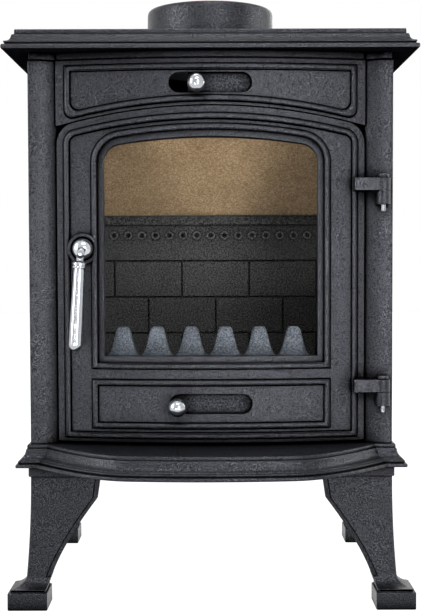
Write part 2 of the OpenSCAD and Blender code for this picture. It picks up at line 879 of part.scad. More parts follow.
function collar_bolt_places() = [for (i = [0:collar_bolts_n - 1]) let (turn = 90 + 360 * i / collar_bolts_n)
    [collar_bolt_pcd / 2 * cos(turn), collar_y + collar_bolt_pcd / 2 * sin(turn)]];

module flue_collar() {
    bore = flue_bore / 2;
    wall = bore + collar_wall;
    flange = collar_flange_r - collar_lip;
    color(iron) difference() {
        translate([0, collar_y, hob_h]) rotate_extrude($fn = wide_fn) polygon(concat(
            [[bore, 0], [collar_flange_r, 0], [collar_flange_r, collar_flange_t - collar_lip],
             [flange, collar_flange_t], [wall + collar_round, collar_flange_t],
             [wall, collar_flange_t + collar_round],
             [wall - collar_taper, collar_h - collar_rim_h - collar_round],
             [wall + collar_lip, collar_h - collar_rim_h]],
            arc(wall + collar_lip - collar_round, collar_h - collar_round, collar_round, 0, 90, 5),
            [[bore + collar_lip, collar_h], [bore, collar_h - collar_lip]]));
        for (p = collar_bolt_places())
            post(p[0], p[1], hob_h - over, hob_h + collar_h, collar_bolt_r);
    }
}

module collar_bolts() {
    head_low = hob_h + collar_flange_t;
    color(steel) for (p = collar_bolt_places()) {
        translate([p[0], p[1], head_low]) cylinder(r = bolt_head_r, h = bolt_head_h, $fn = 6);
        post(p[0], p[1], hob_under, head_low + bolt_head_h / 2, collar_bolt_r);
    }
}

// Front casting: the door's seat below, the raised panel with the air slot above
function door_outline(inset, foot) =
    arched(door_half - inset, door_bottom + foot, door_top - inset, arch_r - inset,
        max(door_corner - inset, least_corner));

// Outline of the beaded panel, drawn in from its bead's outer edge, with its arch's radius grown
function panel_bead(inset, grown) = over_arch(
    front_half - panel_margin - inset, body_top - panel_top_in - inset,
    door_top + panel_bead_drop + inset, arch_r + panel_bead_drop + grown, panel_corner);

// Outline of the raised panel over the door, down to the door's arch
function panel_face(top) = over_arch(front_half, top, door_top + door_gap, arch_r + door_gap, door_gap);

module front_frame() {
    opening = arched(opening_half, opening_bottom, opening_top, arch_r - opening_in, opening_corner);
    color(iron) difference() {
        union() {
            difference() {
                bowed(rect(front_half, base_top, body_top), frame_back_r, frame_r);
                through(opening, bow_nose - front_depth, bow_nose + front_depth);
            }
            bowed(panel_face(body_top - skirt_gap), frame_r - over, bow_r);
            bowed(panel_face(body_top), frame_r - over, bow_r - skirt_groove);
            bead(panel_bead(0, 0), panel_bead(bead_shoulder, 0),
                panel_bead(bead_w - bead_shoulder, bead_w), panel_bead(bead_w, bead_w));
        }
        crevices(panel_bead(-crevice_w, -crevice_w), panel_bead(0, 0),
            panel_bead(bead_w, bead_w), panel_bead(bead_w + crevice_w, bead_w + crevice_w));
        through(slot(slot_w, slot_h, top_slot_z), bow_nose - front_depth, bow_nose + front_depth);
        bowed(over_arch(front_half - panel_side_wall, body_top - panel_edge_wall,
            door_top + door_gap + panel_edge_wall, arch_r + door_gap + panel_edge_wall, panel_corner),
            frame_back_r - over, bow_r - panel_wall);
        for (sx = [-1, 1], z = frame_bolt_zs())
            turned_y(sx * frame_bolt_x, bow_y(frame_back_r, frame_bolt_x) - frame_bolt_hold,
                bow_nose + front_depth, z, bolt_r, bolt_fn);
        guide_screw_holes(top_slot_z);
    }
}

module frame_bolts() {
    lug_back = bow_y(frame_back_r, front_half) + seat + frame_lug_t;
    color(steel) for (sx = [-1, 1], z = frame_bolt_zs()) {
        hex_y(sx * frame_bolt_x, lug_back, z, bolt_head_r, bolt_head_h);
        turned_y(sx * frame_bolt_x, bow_y(frame_back_r, frame_bolt_x) - frame_bolt_hold + seat,
            lug_back + bolt_head_h / 2, z, bolt_r, bolt_fn);
    }
}

// Air slides, their guides and knobs
function guide_screw_xs() = [for (s = [-1, 1]) s * guide_half * guide_screw_share];
function guide_screw_dz() = slide_h / 2 + slide_play + guide_foot / 2;

// Blind holes for the guides' screws, from half the panel's wall backwards
module guide_screw_holes(z) {
    for (x = guide_screw_xs(), s = [-1, 1])
        turned_y(x, bow_y(bow_r, x) + panel_wall / 2, bow_nose + front_depth,
            z + s * guide_screw_dz(), guide_screw_r, bolt_fn);
}

module slide_guides(z) {
    low = slide_h / 2 + slide_play;
    lip = slide_t + 2 * slide_play;
    color(steel) for (s = [-1, 1]) difference() {
        intersection() {
            bow_sheet(slide_r - lip - guide_t, slide_r, z - slide_h, z + slide_h);
            through([for (p = rect(guide_half, low - guide_lip, low + guide_foot)) [p[0], z + s * p[1]]],
                bow_nose - front_depth, bow_nose + front_depth);
        }
        bow_sheet(slide_r - lip, slide_r + over, z + (s > 0 ? -slide_h : -low), z + (s > 0 ? low : slide_h));
        for (x = guide_screw_xs())
            turned_y(x, bow_nose, bow_nose + front_depth, z + s * guide_screw_dz(), guide_screw_r, bolt_fn);
    }
}

module guide_screws(z) {
    back_r = slide_r - slide_t - 2 * slide_play - guide_t;
    color(steel) for (x = guide_screw_xs(), s = [-1, 1]) {
        y = bow_y(back_r, x);
        screw_z = z + s * guide_screw_dz();
        turned_y(x, y + seat, y + seat + guide_head_t, screw_z, guide_head_r, bolt_fn);
        turned_y(x, bow_y(bow_r - panel_wall, x) - guide_screw_hold / 2, y + seat + guide_head_t / 2,
            screw_z, guide_screw_r - seat / 3, bolt_fn);
    }
}

// A slide's plate from one end to the other, with the hole for its knob
module air_slide(left, right, z, knob_x) {
    color(iron_dark) difference() {
        bowed([for (p = rect((right - left) / 2, z - slide_h / 2, z + slide_h / 2))
            [p[0] + (left + right) / 2, p[1]]], slide_r - slide_t - slide_play, slide_r - slide_play);
        turned_y(knob_x, bow_nose - over, bow_nose + front_depth, z - knob_drop, knob_tenon_r, bolt_fn);
    }
}

module air_knob(x, z) {
    root = bow_y(slide_r - slide_play, x) - seat;
    color(chrome) translate([x, root, z - knob_drop]) rotate([90, 0, 0])
        rotate_extrude($fn = round_fn) polygon(concat(
        [[0, -slide_t - knob_tenon_past], [knob_tenon_r, -slide_t - knob_tenon_past], [knob_tenon_r, 0],
         [knob_stem_r, 0],
         [knob_stem_r, knob_reach - knob_r]],
        arc(0, knob_reach, knob_r, -60, 90, 12)));
}

module top_slide_guides() { slide_guides(top_slot_z); }
module top_guide_screws() { guide_screws(top_slot_z); }
module top_air_slide() {
    air_slide(-slot_w / 2 + top_slide_shift, slot_w / 2 + top_travel[0] + slide_over, top_slot_z, top_knob_x);
}
module top_air_knob() { air_knob(top_knob_x, top_slot_z); }
module bottom_slide_guides() { slide_guides(low_slot_z); }
module bottom_guide_screws() { guide_screws(low_slot_z); }
module bottom_air_slide() {
    air_slide(-slot_w / 2 - slide_over, slot_w / 2 + slide_over, low_slot_z, low_knob_x);
}
module bottom_air_knob() { air_knob(low_knob_x, low_slot_z); }

// Door casting
function window_outline(out) = arched(window_half + out, window_bottom - out, window_top + out,
    arch_r - (door_top - window_top) + out, window_corner + out);

function low_panel(inset) =
    rect(low_panel_half - inset, low_panel_bottom + inset, low_panel_bottom + low_panel_h - inset);

function door_ring(inset) = door_outline(door_bead_in + inset, door_bead_bottom + inset);

module door_bead_rings() {
    inner = bead_w - bead_shoulder;
    bead(door_ring(0), door_ring(bead_shoulder), door_ring(inner), door_ring(bead_w));
    bead(window_outline(window_bead_out), window_outline(window_bead_out - bead_shoulder),
        window_outline(window_lip + bead_shoulder), window_outline(window_lip));
    bead(low_panel(0), low_panel(bead_shoulder), low_panel(inner), low_panel(bead_w));
}

module hinge_arm(z) {
    edge_y = bow_y(bow_r, door_half);
    post(pin_x, pin_y, z, z + arm_h, knuckle_r, round_fn);
    translate([door_half - arm_root, pin_y - arm_front, z])
        cube([pin_x - door_half + arm_root, arm_front + arm_back, arm_h]);
    translate([door_half - arm_root, pin_y - arm_front, z])
        cube([arm_root, edge_y + door_t / 2 - pin_y + arm_front, arm_h]);
}

module door() {
    color(iron) difference() {
        union() {
            bowed(door_outline(0, 0), door_back_r, bow_r);
            door_bead_rings();
            intersection() {
                through(window_outline(glass_pad), bow_nose, glass_pad_y);
                post(0, bow_cy, base_top, body_top, bow_r - door_t / 2, wide_fn);
            }
            for (z = [upper_hinge_z, lower_hinge_z]) hinge_arm(z);
            turned_y(handle_x, handle_face, handle_face + boss_depth, handle_z, boss_r);
        }
        through(window_outline(0), bow_nose - front_depth, bow_nose + front_depth);
        bowed(window_outline(window_lip), bow_r - window_lip_cut, bow_r + front_depth / 2);
        difference() {
            bowed(door_outline(rope_in, rope_bottom_in), door_back_r - over, door_back_r + rope_groove);
            through(door_outline(rope_in + rope_w, rope_bottom_in + rope_w),
                bow_nose - front_depth, bow_nose + front_depth);
        }
        through(slot(slot_w, slot_h, low_slot_z), bow_nose - front_depth, bow_nose + front_depth);
        bowed(rect(low_panel_half, low_panel_bottom + bead_w / 2,
            low_panel_bottom + low_panel_h - bead_w / 2), door_back_r - over, bow_r - panel_wall);
        crevices(door_ring(-crevice_w), door_ring(0), door_ring(bead_w), door_ring(bead_w + crevice_w));
        crevices(window_outline(window_bead_out + crevice_w), window_outline(window_bead_out),
            window_outline(window_lip), window_outline(window_lip - crevice_w));
        crevices(low_panel(-crevice_w), low_panel(0), low_panel(bead_w), low_panel(bead_w + crevice_w));
        turned_y(handle_x, handle_face - over, handle_face + boss_sink, handle_z, boss_r - boss_ring);
        turned_y(handle_x, handle_face - over, handle_face + front_depth, handle_z, spindle_r + run_gap);
        for (z = [upper_hinge_z, lower_hinge_z])
            post(pin_x, pin_y, z - over, z + arm_h + over, pin_r + run_gap, round_fn);
        guide_screw_holes(low_slot_z);
        for (p = clip_places())
            turned_y(p[0], glass_pad_y - clip_screw_hold, glass_pad_y + over, p[1], clip_screw_r, bolt_fn);
    }
}

function rope_outline(inset) = door_outline(rope_in + inset, rope_bottom_in + inset);

module door_rope() {
    color(steel) difference() {
        bowed(rope_outline(seat), frame_r + seat, door_back_r + rope_groove - seat);
        through(rope_outline(rope_w - seat), bow_nose - front_depth, bow_nose + front_depth);
    }
}

// Window glass, its tape and the clips that hold it
function clip_places() = [for (sx = [-1, 1], share = [clip_low_share, clip_high_share])
    [sx * (window_half + glass_pad - clip_in), window_bottom + window_h * share]];

module door_glass() {
    front = glass_pad_y + glass_tape_t;
    color("#556066", 0.4) through(window_outline(glass_lap), front, front + glass_t);
}

module glass_tape() {
    color("#d8d5cc") difference() {
        through(window_outline(glass_lap - tape_in), glass_pad_y, glass_pad_y + glass_tape_t);
        through(window_outline(glass_lap - tape_in - tape_w),
            glass_pad_y - over, glass_pad_y + glass_tape_t + over);
    }
}

module glass_clips() {
    back = glass_pad_y + glass_tape_t + glass_t;
    foot_in = clip_head_r / 2 + clip_foot_play;
    color(steel) for (p = clip_places()) difference() {
        union() {
            translate([p[0] > 0 ? p[0] - clip_reach : p[0] - clip_tail / 2, back, p[1] - clip_w / 2])
                cube([clip_reach + clip_tail / 2, clip_t, clip_w]);
            translate([p[0] > 0 ? p[0] - foot_in : p[0] - clip_tail / 2, glass_pad_y, p[1] - clip_w / 2])
                cube([clip_tail / 2 + foot_in, back - glass_pad_y + clip_t / 2, clip_w]);
        }
        turned_y(p[0], glass_pad_y - over, back + clip_t + over, p[1], clip_screw_r, bolt_fn);
    }
}

module glass_clip_screws() {
    back = glass_pad_y + glass_tape_t + glass_t + clip_t;
    color(steel) for (p = clip_places()) {
        turned_y(p[0], back, back + clip_head_t, p[1], clip_head_r, bolt_fn);
        turned_y(p[0], glass_pad_y - clip_screw_hold, back + clip_head_t / 2, p[1], clip_screw_r, bolt_fn);
    }
}

// Handle, spindle and latch
module door_handle() {
    root = handle_face + boss_sink - seat;
    neck_reach = lever_out - hub_base;
    neck_slant = sqrt(pow(neck_reach, 2) + pow(neck_l, 2));
    collar_low = neck_l - collar_t;
    color(chrome) {
        translate([handle_x, root, handle_z]) rotate([90, 0, 0]) rotate_extrude($fn = round_fn)
            polygon(concat([[0, 0], [hub_r, 0], [hub_r, hub_base]],
                [for (i = [1:10]) let (a = 90 * i / 10) [hub_r * cos(a), hub_base + hub_dome * sin(a)]]));
        translate([handle_x, root - hub_base, handle_z]) rotate([0, lever_tilt, 0]) {
            rotate([-atan(neck_reach / neck_l), 0, 0]) translate([0, 0, -neck_slant])
                cylinder(r = neck_r, h = neck_slant, $fn = round_fn);
            translate([0, -neck_reach, 0]) mirror([0, 0, 1]) rotate_extrude($fn = round_fn)
                polygon(concat([[0, collar_low], [collar_neck_r, collar_low],
                    [collar_r, collar_low + collar_edge], [collar_r, neck_l - collar_edge],
                    [grip_top_r, neck_l], [grip_top_r, neck_l + collar_edge]],
                    arc(0, lever_l - grip_end_r, grip_end_r, 0, 90, 8)));
        }
    }
}

module handle_spindle() {
    root = handle_face + boss_sink - seat;
    color(steel) turned_y(handle_x, root, tongue_y + tongue_t + nut_t, handle_z, spindle_r);
}

module latch_tongue() {
    back_y = bow_y(door_back_r, handle_x) + latch_play;
    color(steel) difference() {
        union() {
            turned_y(handle_x, back_y, tongue_y + tongue_t, handle_z, tongue_hub_r);
            translate([handle_x - tongue_reach, tongue_y, handle_z - tongue_w / 2])
                cube([tongue_reach, tongue_t, tongue_w]);
        }
        turned_y(handle_x, back_y - over, tongue_y + tongue_t + over, handle_z, spindle_r);
    }
}

module latch_nut() {
    color(steel) difference() {
        hex_y(handle_x, tongue_y + tongue_t, handle_z, nut_r, nut_t);
        turned_y(handle_x, tongue_y, tongue_y + tongue_t + nut_t + over, handle_z, spindle_r);
    }
}

// Tie rods through the body
module tie_rods() {
    color(steel) for (sx = [-1, 1], y = [rod_front_y, rod_rear_y])
        translate([sx * rod_x, y, leg_h - rod_nut_h - over])
            cylinder(r = rod_r, h = hob_under + hob_t / 4 - leg_h + rod_nut_h + over, $fn = bolt_fn);
}

module tie_nuts() {
    color(steel) for (sx = [-1, 1], y = [rod_front_y, rod_rear_y])
        translate([sx * rod_x, y, leg_h - rod_nut_h]) difference() {
            cylinder(r = rod_nut_r, h = rod_nut_h, $fn = 6);
            translate([0, 0, -over]) cylinder(r = rod_r, h = rod_nut_h + 2 * over, $fn = bolt_fn);
        }
}

// Firebox
module grate_frame() {
    color(iron_dark) difference() {
        translate([-shelf_half, shelf_front, shelf_z])
            cube([2 * shelf_half, shelf_rear - shelf_front, shelf_t]);
        translate([-grate_half + grate_lip, grate_front + grate_lip, shelf_z - over])
            cube([2 * (grate_half - grate_lip), grate_rear - grate_front - 2 * grate_lip,
                shelf_t + 2 * over]);
        for (sx = [-1, 1], y = [rod_front_y, rod_rear_y])
            post(sx * rod_x, y, shelf_z - over, shelf_z + shelf_t + over, rod_r + seat);
    }
}

module grate() {
    length = grate_rear - grate_front - 2 * grate_rim;
    pitch = 2 * (grate_half - grate_rim) / grate_slots;
    color(iron_dark) difference() {
        union() {
            translate([-grate_half, grate_front, shelf_z + shelf_t])
                cube([2 * grate_half, grate_rear - grate_front, grate_t - grate_lip / 2]);
            translate([-grate_half + grate_lip + grate_play, grate_front + grate_lip + grate_play,
                shelf_z + shelf_t - grate_lip])
                cube([2 * (grate_half - grate_lip - grate_play),
                    grate_rear - grate_front - 2 * (grate_lip + grate_play), grate_t]);
        }
        for (i = [0:grate_slots - 1])
            translate([-grate_half + grate_rim + (i + 0.5 - grate_slot_share / 2) * pitch,
                grate_front + grate_rim, shelf_z])
                cube([pitch * grate_slot_share, length, shelf_t + 2 * grate_t]);
    }
}

// Right half of one fence tooth, from its crown down to the valley
function half_tooth() = [[tooth_crown, 0], [tooth_crown + tooth_round, -tooth_round],
    [fence_pitch / 2 - tooth_flare, -fence_valley * tooth_foot_share],
    [fence_pitch / 2 - tooth_round, -fence_valley]];

function tooth(x) = concat(
    [for (i = [3:-1:0]) let (p = half_tooth()[i]) [x - p[0], fence_top + p[1]]],
    [for (p = half_tooth()) [x + p[0], fence_top + p[1]]]);

module log_fence() {
    first = fence_shift - fence_pitch * (fence_teeth - 1) / 2;
    color("#5d7282") {
        through(concat(
            [[fence_half, liner_low], [-fence_half, liner_low], [-fence_half, fence_top - fence_valley]],
            [for (i = [0:fence_teeth - 1]) for (p = tooth(first + i * fence_pitch)) p],
            [[fence_half, fence_top - fence_valley]]), fence_y, fence_y + fence_t);
        for (sx = [-1, 1])
            translate([sx * (fence_half - fence_foot_w) - fence_foot_w / 2, fence_y, liner_low])
                cube([fence_foot_w, fence_t + fence_foot_w / 2, fence_foot_w / 2]);
    }
}

function air_hole_xs() = [for (i = [0:air_holes - 1]) (i - (air_holes - 1) / 2) * air_hole_pitch];

module rear_liner() {
    rows = floor((liner_top - liner_bar_h - liner_low) / brick_h);
    top_row = liner_top - liner_bar_h;
    hole_z = liner_top - air_hole_drop;
    color(iron_dark) difference() {
        union() {
            translate([-liner_half, liner_rear, liner_low])
                cube([2 * liner_half, liner_t, liner_top - liner_low]);
            translate([-liner_half, liner_rear - liner_bar_proud, liner_top - liner_bar_h])
                cube([2 * liner_half, liner_bar_proud + over, liner_bar_h]);
            for (x = air_hole_xs())
                turned_y(x, liner_rear - air_hole_rim_t, liner_rear + over, hole_z, air_hole_rim_r, bolt_fn);
        }
        for (x = air_hole_xs())
            turned_y(x, liner_rear - liner_t, liner_rear + 2 * liner_t, hole_z, air_hole_r, bolt_fn);
        for (row = [1:rows])
            translate([-liner_half - over, liner_rear - over, top_row - row * brick_h - brick_joint / 2])
                cube([2 * (liner_half + over), over + brick_joint_depth, brick_joint]);
        for (row = [1:rows], i = [-2:2]) {
            x = (i + (row % 2 == 1 ? 0.5 : 0) + brick_shift_share) * brick_w;
            if (abs(x) < liner_half - brick_joint)
                translate([x - brick_joint / 2, liner_rear - over, top_row - (row + 1) * brick_h])
                    cube([brick_joint, over + brick_joint_depth, brick_h]);
        }
    }
}

// Cast side liner, whose top edge carries the sloping baffle board
module side_liner(sx) {
    board_rear = liner_rear + liner_t / 2;
    under = baffle_low_z - seat;
    color(iron_dark) translate([sx > 0 ? liner_half : -liner_half - side_liner_t, 0, 0])
        rotate([90, 0, 90]) linear_extrude(height = side_liner_t) polygon([
            [fence_y, liner_low], [liner_rear, liner_low],
            [liner_rear, under + (board_rear - liner_rear) * baffle_rise / baffle_run],
            [board_rear - baffle_run, under + baffle_rise], [fence_y, under]]);
}

module liner_left() { side_liner(-1); }
module liner_right() { side_liner(1); }

module baffle_board() {
    slope = atan(baffle_rise / baffle_run);
    length = sqrt(pow(baffle_rise, 2) + pow(baffle_run, 2));
    color(board) translate([-baffle_half, liner_rear + liner_t / 2, baffle_low_z]) rotate([-slope, 0, 0])
        translate([0, -length, 0]) cube([2 * baffle_half, length, baffle_t]);
}

module ash_pan() {
    z = base_top + runner_h + pan_gap;
    color(steel) difference() {
        union() {
            translate([-pan_half, pan_front, z]) cube([2 * pan_half, pan_rear - pan_front, pan_h]);
            translate([-pan_half / 2, pan_front - pan_lip, z + pan_h - pan_wall])
                cube([pan_half, pan_lip + over, pan_wall]);
        }
        translate([-pan_half + pan_wall, pan_front + pan_wall, z + pan_wall])
            cube([2 * (pan_half - pan_wall), pan_rear - pan_front - 2 * pan_wall, pan_h]);
    }
}

base_plate();
leg(-1, false);  // leg_front_left
leg(1, false);  // leg_front_right
leg(-1, true);  // leg_rear_left
leg(1, true);  // leg_rear_right
leg_bolts();
side_left();
side_right();
back_plate();
back_bolts();
rear_blanking_plate();
blanking_bolts();
top_plate();
flue_collar();
collar_bolts();
front_frame();
frame_bolts();
tie_rods();
tie_nuts();
hinge_pins();
grate_frame();
grate();
log_fence();
rear_liner();
liner_left();
liner_right();
baffle_board();
top_slide_guides();
top_guide_screws();
top_air_slide();
top_air_knob();
door();
door_rope();
door_glass();
glass_tape();
glass_clips();
glass_clip_screws();
bottom_slide_guides();
bottom_guide_screws();
bottom_air_slide();
bottom_air_knob();
door_handle();
handle_spindle();
latch_tongue();
latch_nut();
ash_pan();
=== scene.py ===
# %% [markdown]
# # A cast iron room stove
# The stove is a set of sand-cast plates bolted round a firebox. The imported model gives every
# plate its exact shape. This lesson dresses it: it rounds the mouldings the way a foundry
# pattern does, adds the turned fittings and gives each piece the finish it has in the
# showroom. Everything is in metres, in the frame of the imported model.

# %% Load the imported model
import json
import math
import bmesh
import bpy
from mathutils import Matrix, Vector


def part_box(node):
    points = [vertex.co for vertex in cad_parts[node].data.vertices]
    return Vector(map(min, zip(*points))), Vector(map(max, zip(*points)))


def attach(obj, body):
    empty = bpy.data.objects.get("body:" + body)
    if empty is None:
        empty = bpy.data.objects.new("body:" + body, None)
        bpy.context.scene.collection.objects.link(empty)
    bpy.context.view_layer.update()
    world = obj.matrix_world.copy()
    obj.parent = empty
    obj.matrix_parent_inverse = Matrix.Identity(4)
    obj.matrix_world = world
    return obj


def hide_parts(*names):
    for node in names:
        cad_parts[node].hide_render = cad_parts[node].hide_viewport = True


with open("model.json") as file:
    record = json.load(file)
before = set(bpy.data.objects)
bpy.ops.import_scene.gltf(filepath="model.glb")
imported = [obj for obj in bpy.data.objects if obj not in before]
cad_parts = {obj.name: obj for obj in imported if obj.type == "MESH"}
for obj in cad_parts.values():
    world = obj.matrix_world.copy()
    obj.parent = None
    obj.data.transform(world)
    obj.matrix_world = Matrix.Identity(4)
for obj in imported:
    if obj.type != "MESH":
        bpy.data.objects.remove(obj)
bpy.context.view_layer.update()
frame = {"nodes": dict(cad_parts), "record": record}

MM = 0.001

# %% [markdown]
# ## The camera
# The photo was taken with a long lens, a little above the middle of the door and looking down
# a touch. Lens and distance were worked out from the widths of the hob and the base, which
# stand at different depths.

# %% Camera
IMAGE_W = 422
FOCAL_PX = 1200
CAMERA_PLACE = (0, -1.355, 0.3685)
LOOK_DOWN = math.radians(2.55)
ROLL = math.radians(0.17)

camera_data = bpy.data.cameras.new("camera")
camera_data.sensor_fit = "HORIZONTAL"
camera_data.lens = camera_data.sensor_width * FOCAL_PX / IMAGE_W
camera = bpy.data.objects.new("camera", camera_data)
bpy.context.scene.collection.objects.link(camera)
camera.matrix_world = (
    Matrix.Translation(CAMERA_PLACE)
    @ Matrix.Rotation(math.radians(90) - LOOK_DOWN, 4, "X")
    @ Matrix.Rotation(-ROLL, 4, "Z"))
bpy.context.scene.camera = camera
print("lens:", round(camera_data.lens, 1), "mm")

# %% [markdown]
# ## Studio light
# Black iron shows its shape by what it mirrors, so soft lamps do the work. The key stands to
# the right of the camera, and a tall lamp lights the left column from the side. A wide, narrow
# strip high in front draws a pale line along the top of each bead. The others fill the hob,
# the right side and the back. Two small lamps near the floor have a narrow spread, because
# they have to reach the board through the window and leave the paint alone.

# %% Lamps
def soft_lamp(name, place, target, size, watts, spread=180):
    lamp = bpy.data.lights.new(name, "AREA")
    lamp.shape = "RECTANGLE"
    lamp.size, lamp.size_y = size
    lamp.energy = watts
    lamp.spread = math.radians(spread)
    holder = bpy.data.objects.new(name, lamp)
    bpy.context.scene.collection.objects.link(holder)
    holder.location = place
    aim = Vector(target) - Vector(place)
    holder.rotation_euler = aim.to_track_quat("-Z", "Y").to_euler()

BODY_MIDDLE = (0, 0, 0.35)
soft_lamp("key", (0.58, -1.95, 0.62), (0, 0, 0.38), (0.6, 1.0), 17)
soft_lamp("left side", (-1.5, -0.75, 0.85), BODY_MIDDLE, (0.5, 1.2), 20)
soft_lamp("right side", (1.6, 0.2, 0.8), BODY_MIDDLE, (0.4, 1.2), 9)
soft_lamp("overhead", (-0.1, 0.1, 1.9), (0, 0, 0.4), (0.9, 0.5), 4)
soft_lamp("high front", (0.1, -1.15, 1.7), (0, -0.1, 0.35), (0.8, 0.22), 13)
soft_lamp("rear fill", (0.4, 2.2, 1.3), BODY_MIDDLE, (1.6, 1.2), 10)
for side in (-1, 1):
    soft_lamp("low front", (side * 0.42, -1.3, 0.06), (side * 0.03, -0.09, 0.40), (0.35, 0.1), 0.16, 26)

# %% [markdown]
# ## A helper for materials
# Every finish below is a small node tree. One function adds a node with its settings, its
# links and the colours of its ramp. A node given as an input means its first output, and a
# list means several links. A second function turns the hex colours of a paint card into the
# linear values in which light is mixed. The Mix node's colour sockets share their names with
# other sockets, so they are called by number.

# %% Material helpers
MATH = "ShaderNodeMath"
MAP_RANGE = "ShaderNodeMapRange"
MIX_A, MIX_B, MIX_RESULT = 6, 7, 2

def linear(hex_colour):
    parts = [int(hex_colour[i:i + 2], 16) / 255 for i in (1, 3, 5)]
    return tuple(c / 12.92 if c <= 0.04045 else ((c + 0.055) / 1.055) ** 2.4 for c in parts) + (1.0,)

def add_node(owner, kind, inputs=None, stops=(), **settings):
    tree = getattr(owner, "node_tree", owner)
    node = tree.nodes.new(kind)
    for name, value in settings.items():
        setattr(node, name, value)
    for key, value in (inputs or {}).items():
        for item in value if isinstance(value, list) else [value]:
            if isinstance(item, bpy.types.Node):
                item = item.outputs[0]
            if isinstance(item, bpy.types.NodeSocket):
                tree.links.new(item, node.inputs[key])
            else:
                node.inputs[key].default_value = item
    for i, (place, colour) in enumerate(stops):
        marks = node.color_ramp.elements
        mark = marks[i] if i < len(marks) else marks.new(place)
        mark.position = place
        mark.color = linear(colour)
    return node

def new_material(name):
    material = bpy.data.materials.new(name)
    material.use_nodes = True
    material.node_tree.nodes.clear()
    return material

print("mid grey is", round(linear("#808080")[0], 3), "in linear light")

# %% [markdown]
# ## Painted shade in hollows and under ledges
# Two marks of painted shade go on every casting. Its hollows and corners are darkened, in
# colour and in reflection, by how little open space is round a spot within a reach in
# millimetres. Its undersides are made rougher and reflect less, which paints shade on them;
# how far the surface faces down sets how much.

# %% Hollows and undersides
DULL_FROM, DULL_AT = -0.3, -0.9

# Ambient occlusion turned into a factor that paints shade into hollows and corners.
def painted_hollow_shade(material, reach_mm, samples, shut, clear, least):
    around = add_node(material, "ShaderNodeAmbientOcclusion", {"Distance": reach_mm * MM}, samples=samples)
    return add_node(material, MAP_RANGE, {
        "Value": around.outputs["AO"], "From Min": shut, "From Max": clear, "To Min": least})

# How far a surface faces down; it roughens undersides and paints shade on them by taking away their
# reflection.
def underside(material):
    place = add_node(material, "ShaderNodeTexCoord")
    facing = add_node(material, "ShaderNodeSeparateXYZ", {"Vector": place.outputs["Normal"]})
    return add_node(material, MAP_RANGE, {
        "Value": facing.outputs["Z"], "From Min": DULL_FROM, "From Max": DULL_AT})

print("helpers:", painted_hollow_shade.__name__, "and", underside.__name__)

# %% [markdown]
# ## Stove paint on sand-cast iron
# The plates are grey iron cast in sand, shot-blasted and spray-painted with matt charcoal stove
# paint. The sand leaves a grain of about half a millimetre that the paint doesn't fill, so
# each plate sparkles softly: the eye sees pale peaks on a near-black ground. Half a
# millimetre is under a pixel here, so the grain is drawn at 1.27 mm. At exactly 1 mm the
# plates showed hairlines, because many of their faces then lie on the noise's own grid. The
# peaks are glossier than the pits. Shade is painted into grooves over 3.5 mm and into corners
# over 18 mm, and undersides reflect less as painted shade. The cast edges look 0.8 mm round.
# The air slides have a duller coat with a coarser grain.

# %% Stove paint
GROOVE_SHADE_MM = 3.5
GRAIN_DEPTH_MM = 0.42
EDGE_ROUND_MM = 0.8
PATCH_MM = 34.0
PAINT_SHEEN = 0.68
UNDERSIDE_DULLING = 0.45

def cast_iron_paint(name, dark, light, grain_mm=1.27, gloss=0.28, corner_shade_mm=18.0):
    material = new_material(name)
    place = add_node(material, "ShaderNodeTexCoord").outputs["Object"]
    grain = add_node(material, "ShaderNodeTexNoise", {
        "Vector": place, "Scale": 1 / (grain_mm * MM), "Detail": 3.0, "Roughness": 0.62})
    patches = add_node(material, "ShaderNodeTexNoise", {"Vector": place, "Scale": 1 / (PATCH_MM * MM)})
    patch_tone = add_node(material, MAP_RANGE, {
        "Value": patches, "From Min": 0.3, "From Max": 0.7, "To Min": 0.82})
    # Painted shade: corners within the corner reach and grooves within 3.5 mm darken colour and reflection.
    corners = painted_hollow_shade(material, corner_shade_mm, 8, 0.45, 0.97, 0.02)
    groove_shade = painted_hollow_shade(material, GROOVE_SHADE_MM, 6, 0.40, 0.88, 0.0)
    shade = add_node(material, MATH, {0: corners, 1: groove_shade}, operation="MULTIPLY")
    # The colour takes that painted shade together with the random patches of tone.
    tone = add_node(material, MATH, {0: shade, 1: patch_tone}, operation="MULTIPLY")
    ground = add_node(material, "ShaderNodeValToRGB", {"Fac": grain}, [(0.44, dark), (0.60, light)])
    colour = add_node(material, "ShaderNodeMix", {
        "Factor": 1.0, MIX_A: ground, MIX_B: tone}, data_type="RGBA", blend_type="MULTIPLY")
    rounded = add_node(material, "ShaderNodeBevel", {"Radius": EDGE_ROUND_MM * MM}, samples=4)
    bump = add_node(material, "ShaderNodeBump", {
        "Strength": 1.0, "Distance": GRAIN_DEPTH_MM * MM, "Height": grain, "Normal": rounded})
    below = underside(material)
    blur = add_node(material, MAP_RANGE, {
        "Value": grain, "From Min": 0.3, "From Max": 0.7, "To Min": gloss + 0.12, "To Max": gloss - 0.06})
    dulled = add_node(material, MATH, {0: below, 1: UNDERSIDE_DULLING, 2: blur}, operation="MULTIPLY_ADD")
    peaks = add_node(material, MAP_RANGE, {
        "Value": grain, "From Min": 0.42, "From Max": 0.60, "To Min": 0.3})
    # Painted shade: undersides keep less and less reflection, down to none.
    sheen_shaded_below = add_node(material, MAP_RANGE, {"Value": below, "To Min": PAINT_SHEEN, "To Max": 0.0})
    shaded_sheen = add_node(material, MATH, {0: shade, 1: sheen_shaded_below}, operation="MULTIPLY")
    sheen = add_node(material, MATH, {0: shaded_sheen, 1: peaks}, operation="MULTIPLY")
    paint = add_node(material, "ShaderNodeBsdfPrincipled", {
        "Base Color": colour.outputs[MIX_RESULT], "Roughness": dulled, "Normal": bump,
        "Specular IOR Level": sheen, "Specular Tint": linear("#e6e9f5"), "Metallic": 0.0, "IOR": 1.5})
    add_node(material, "ShaderNodeOutputMaterial", {"Surface": paint})
    return material

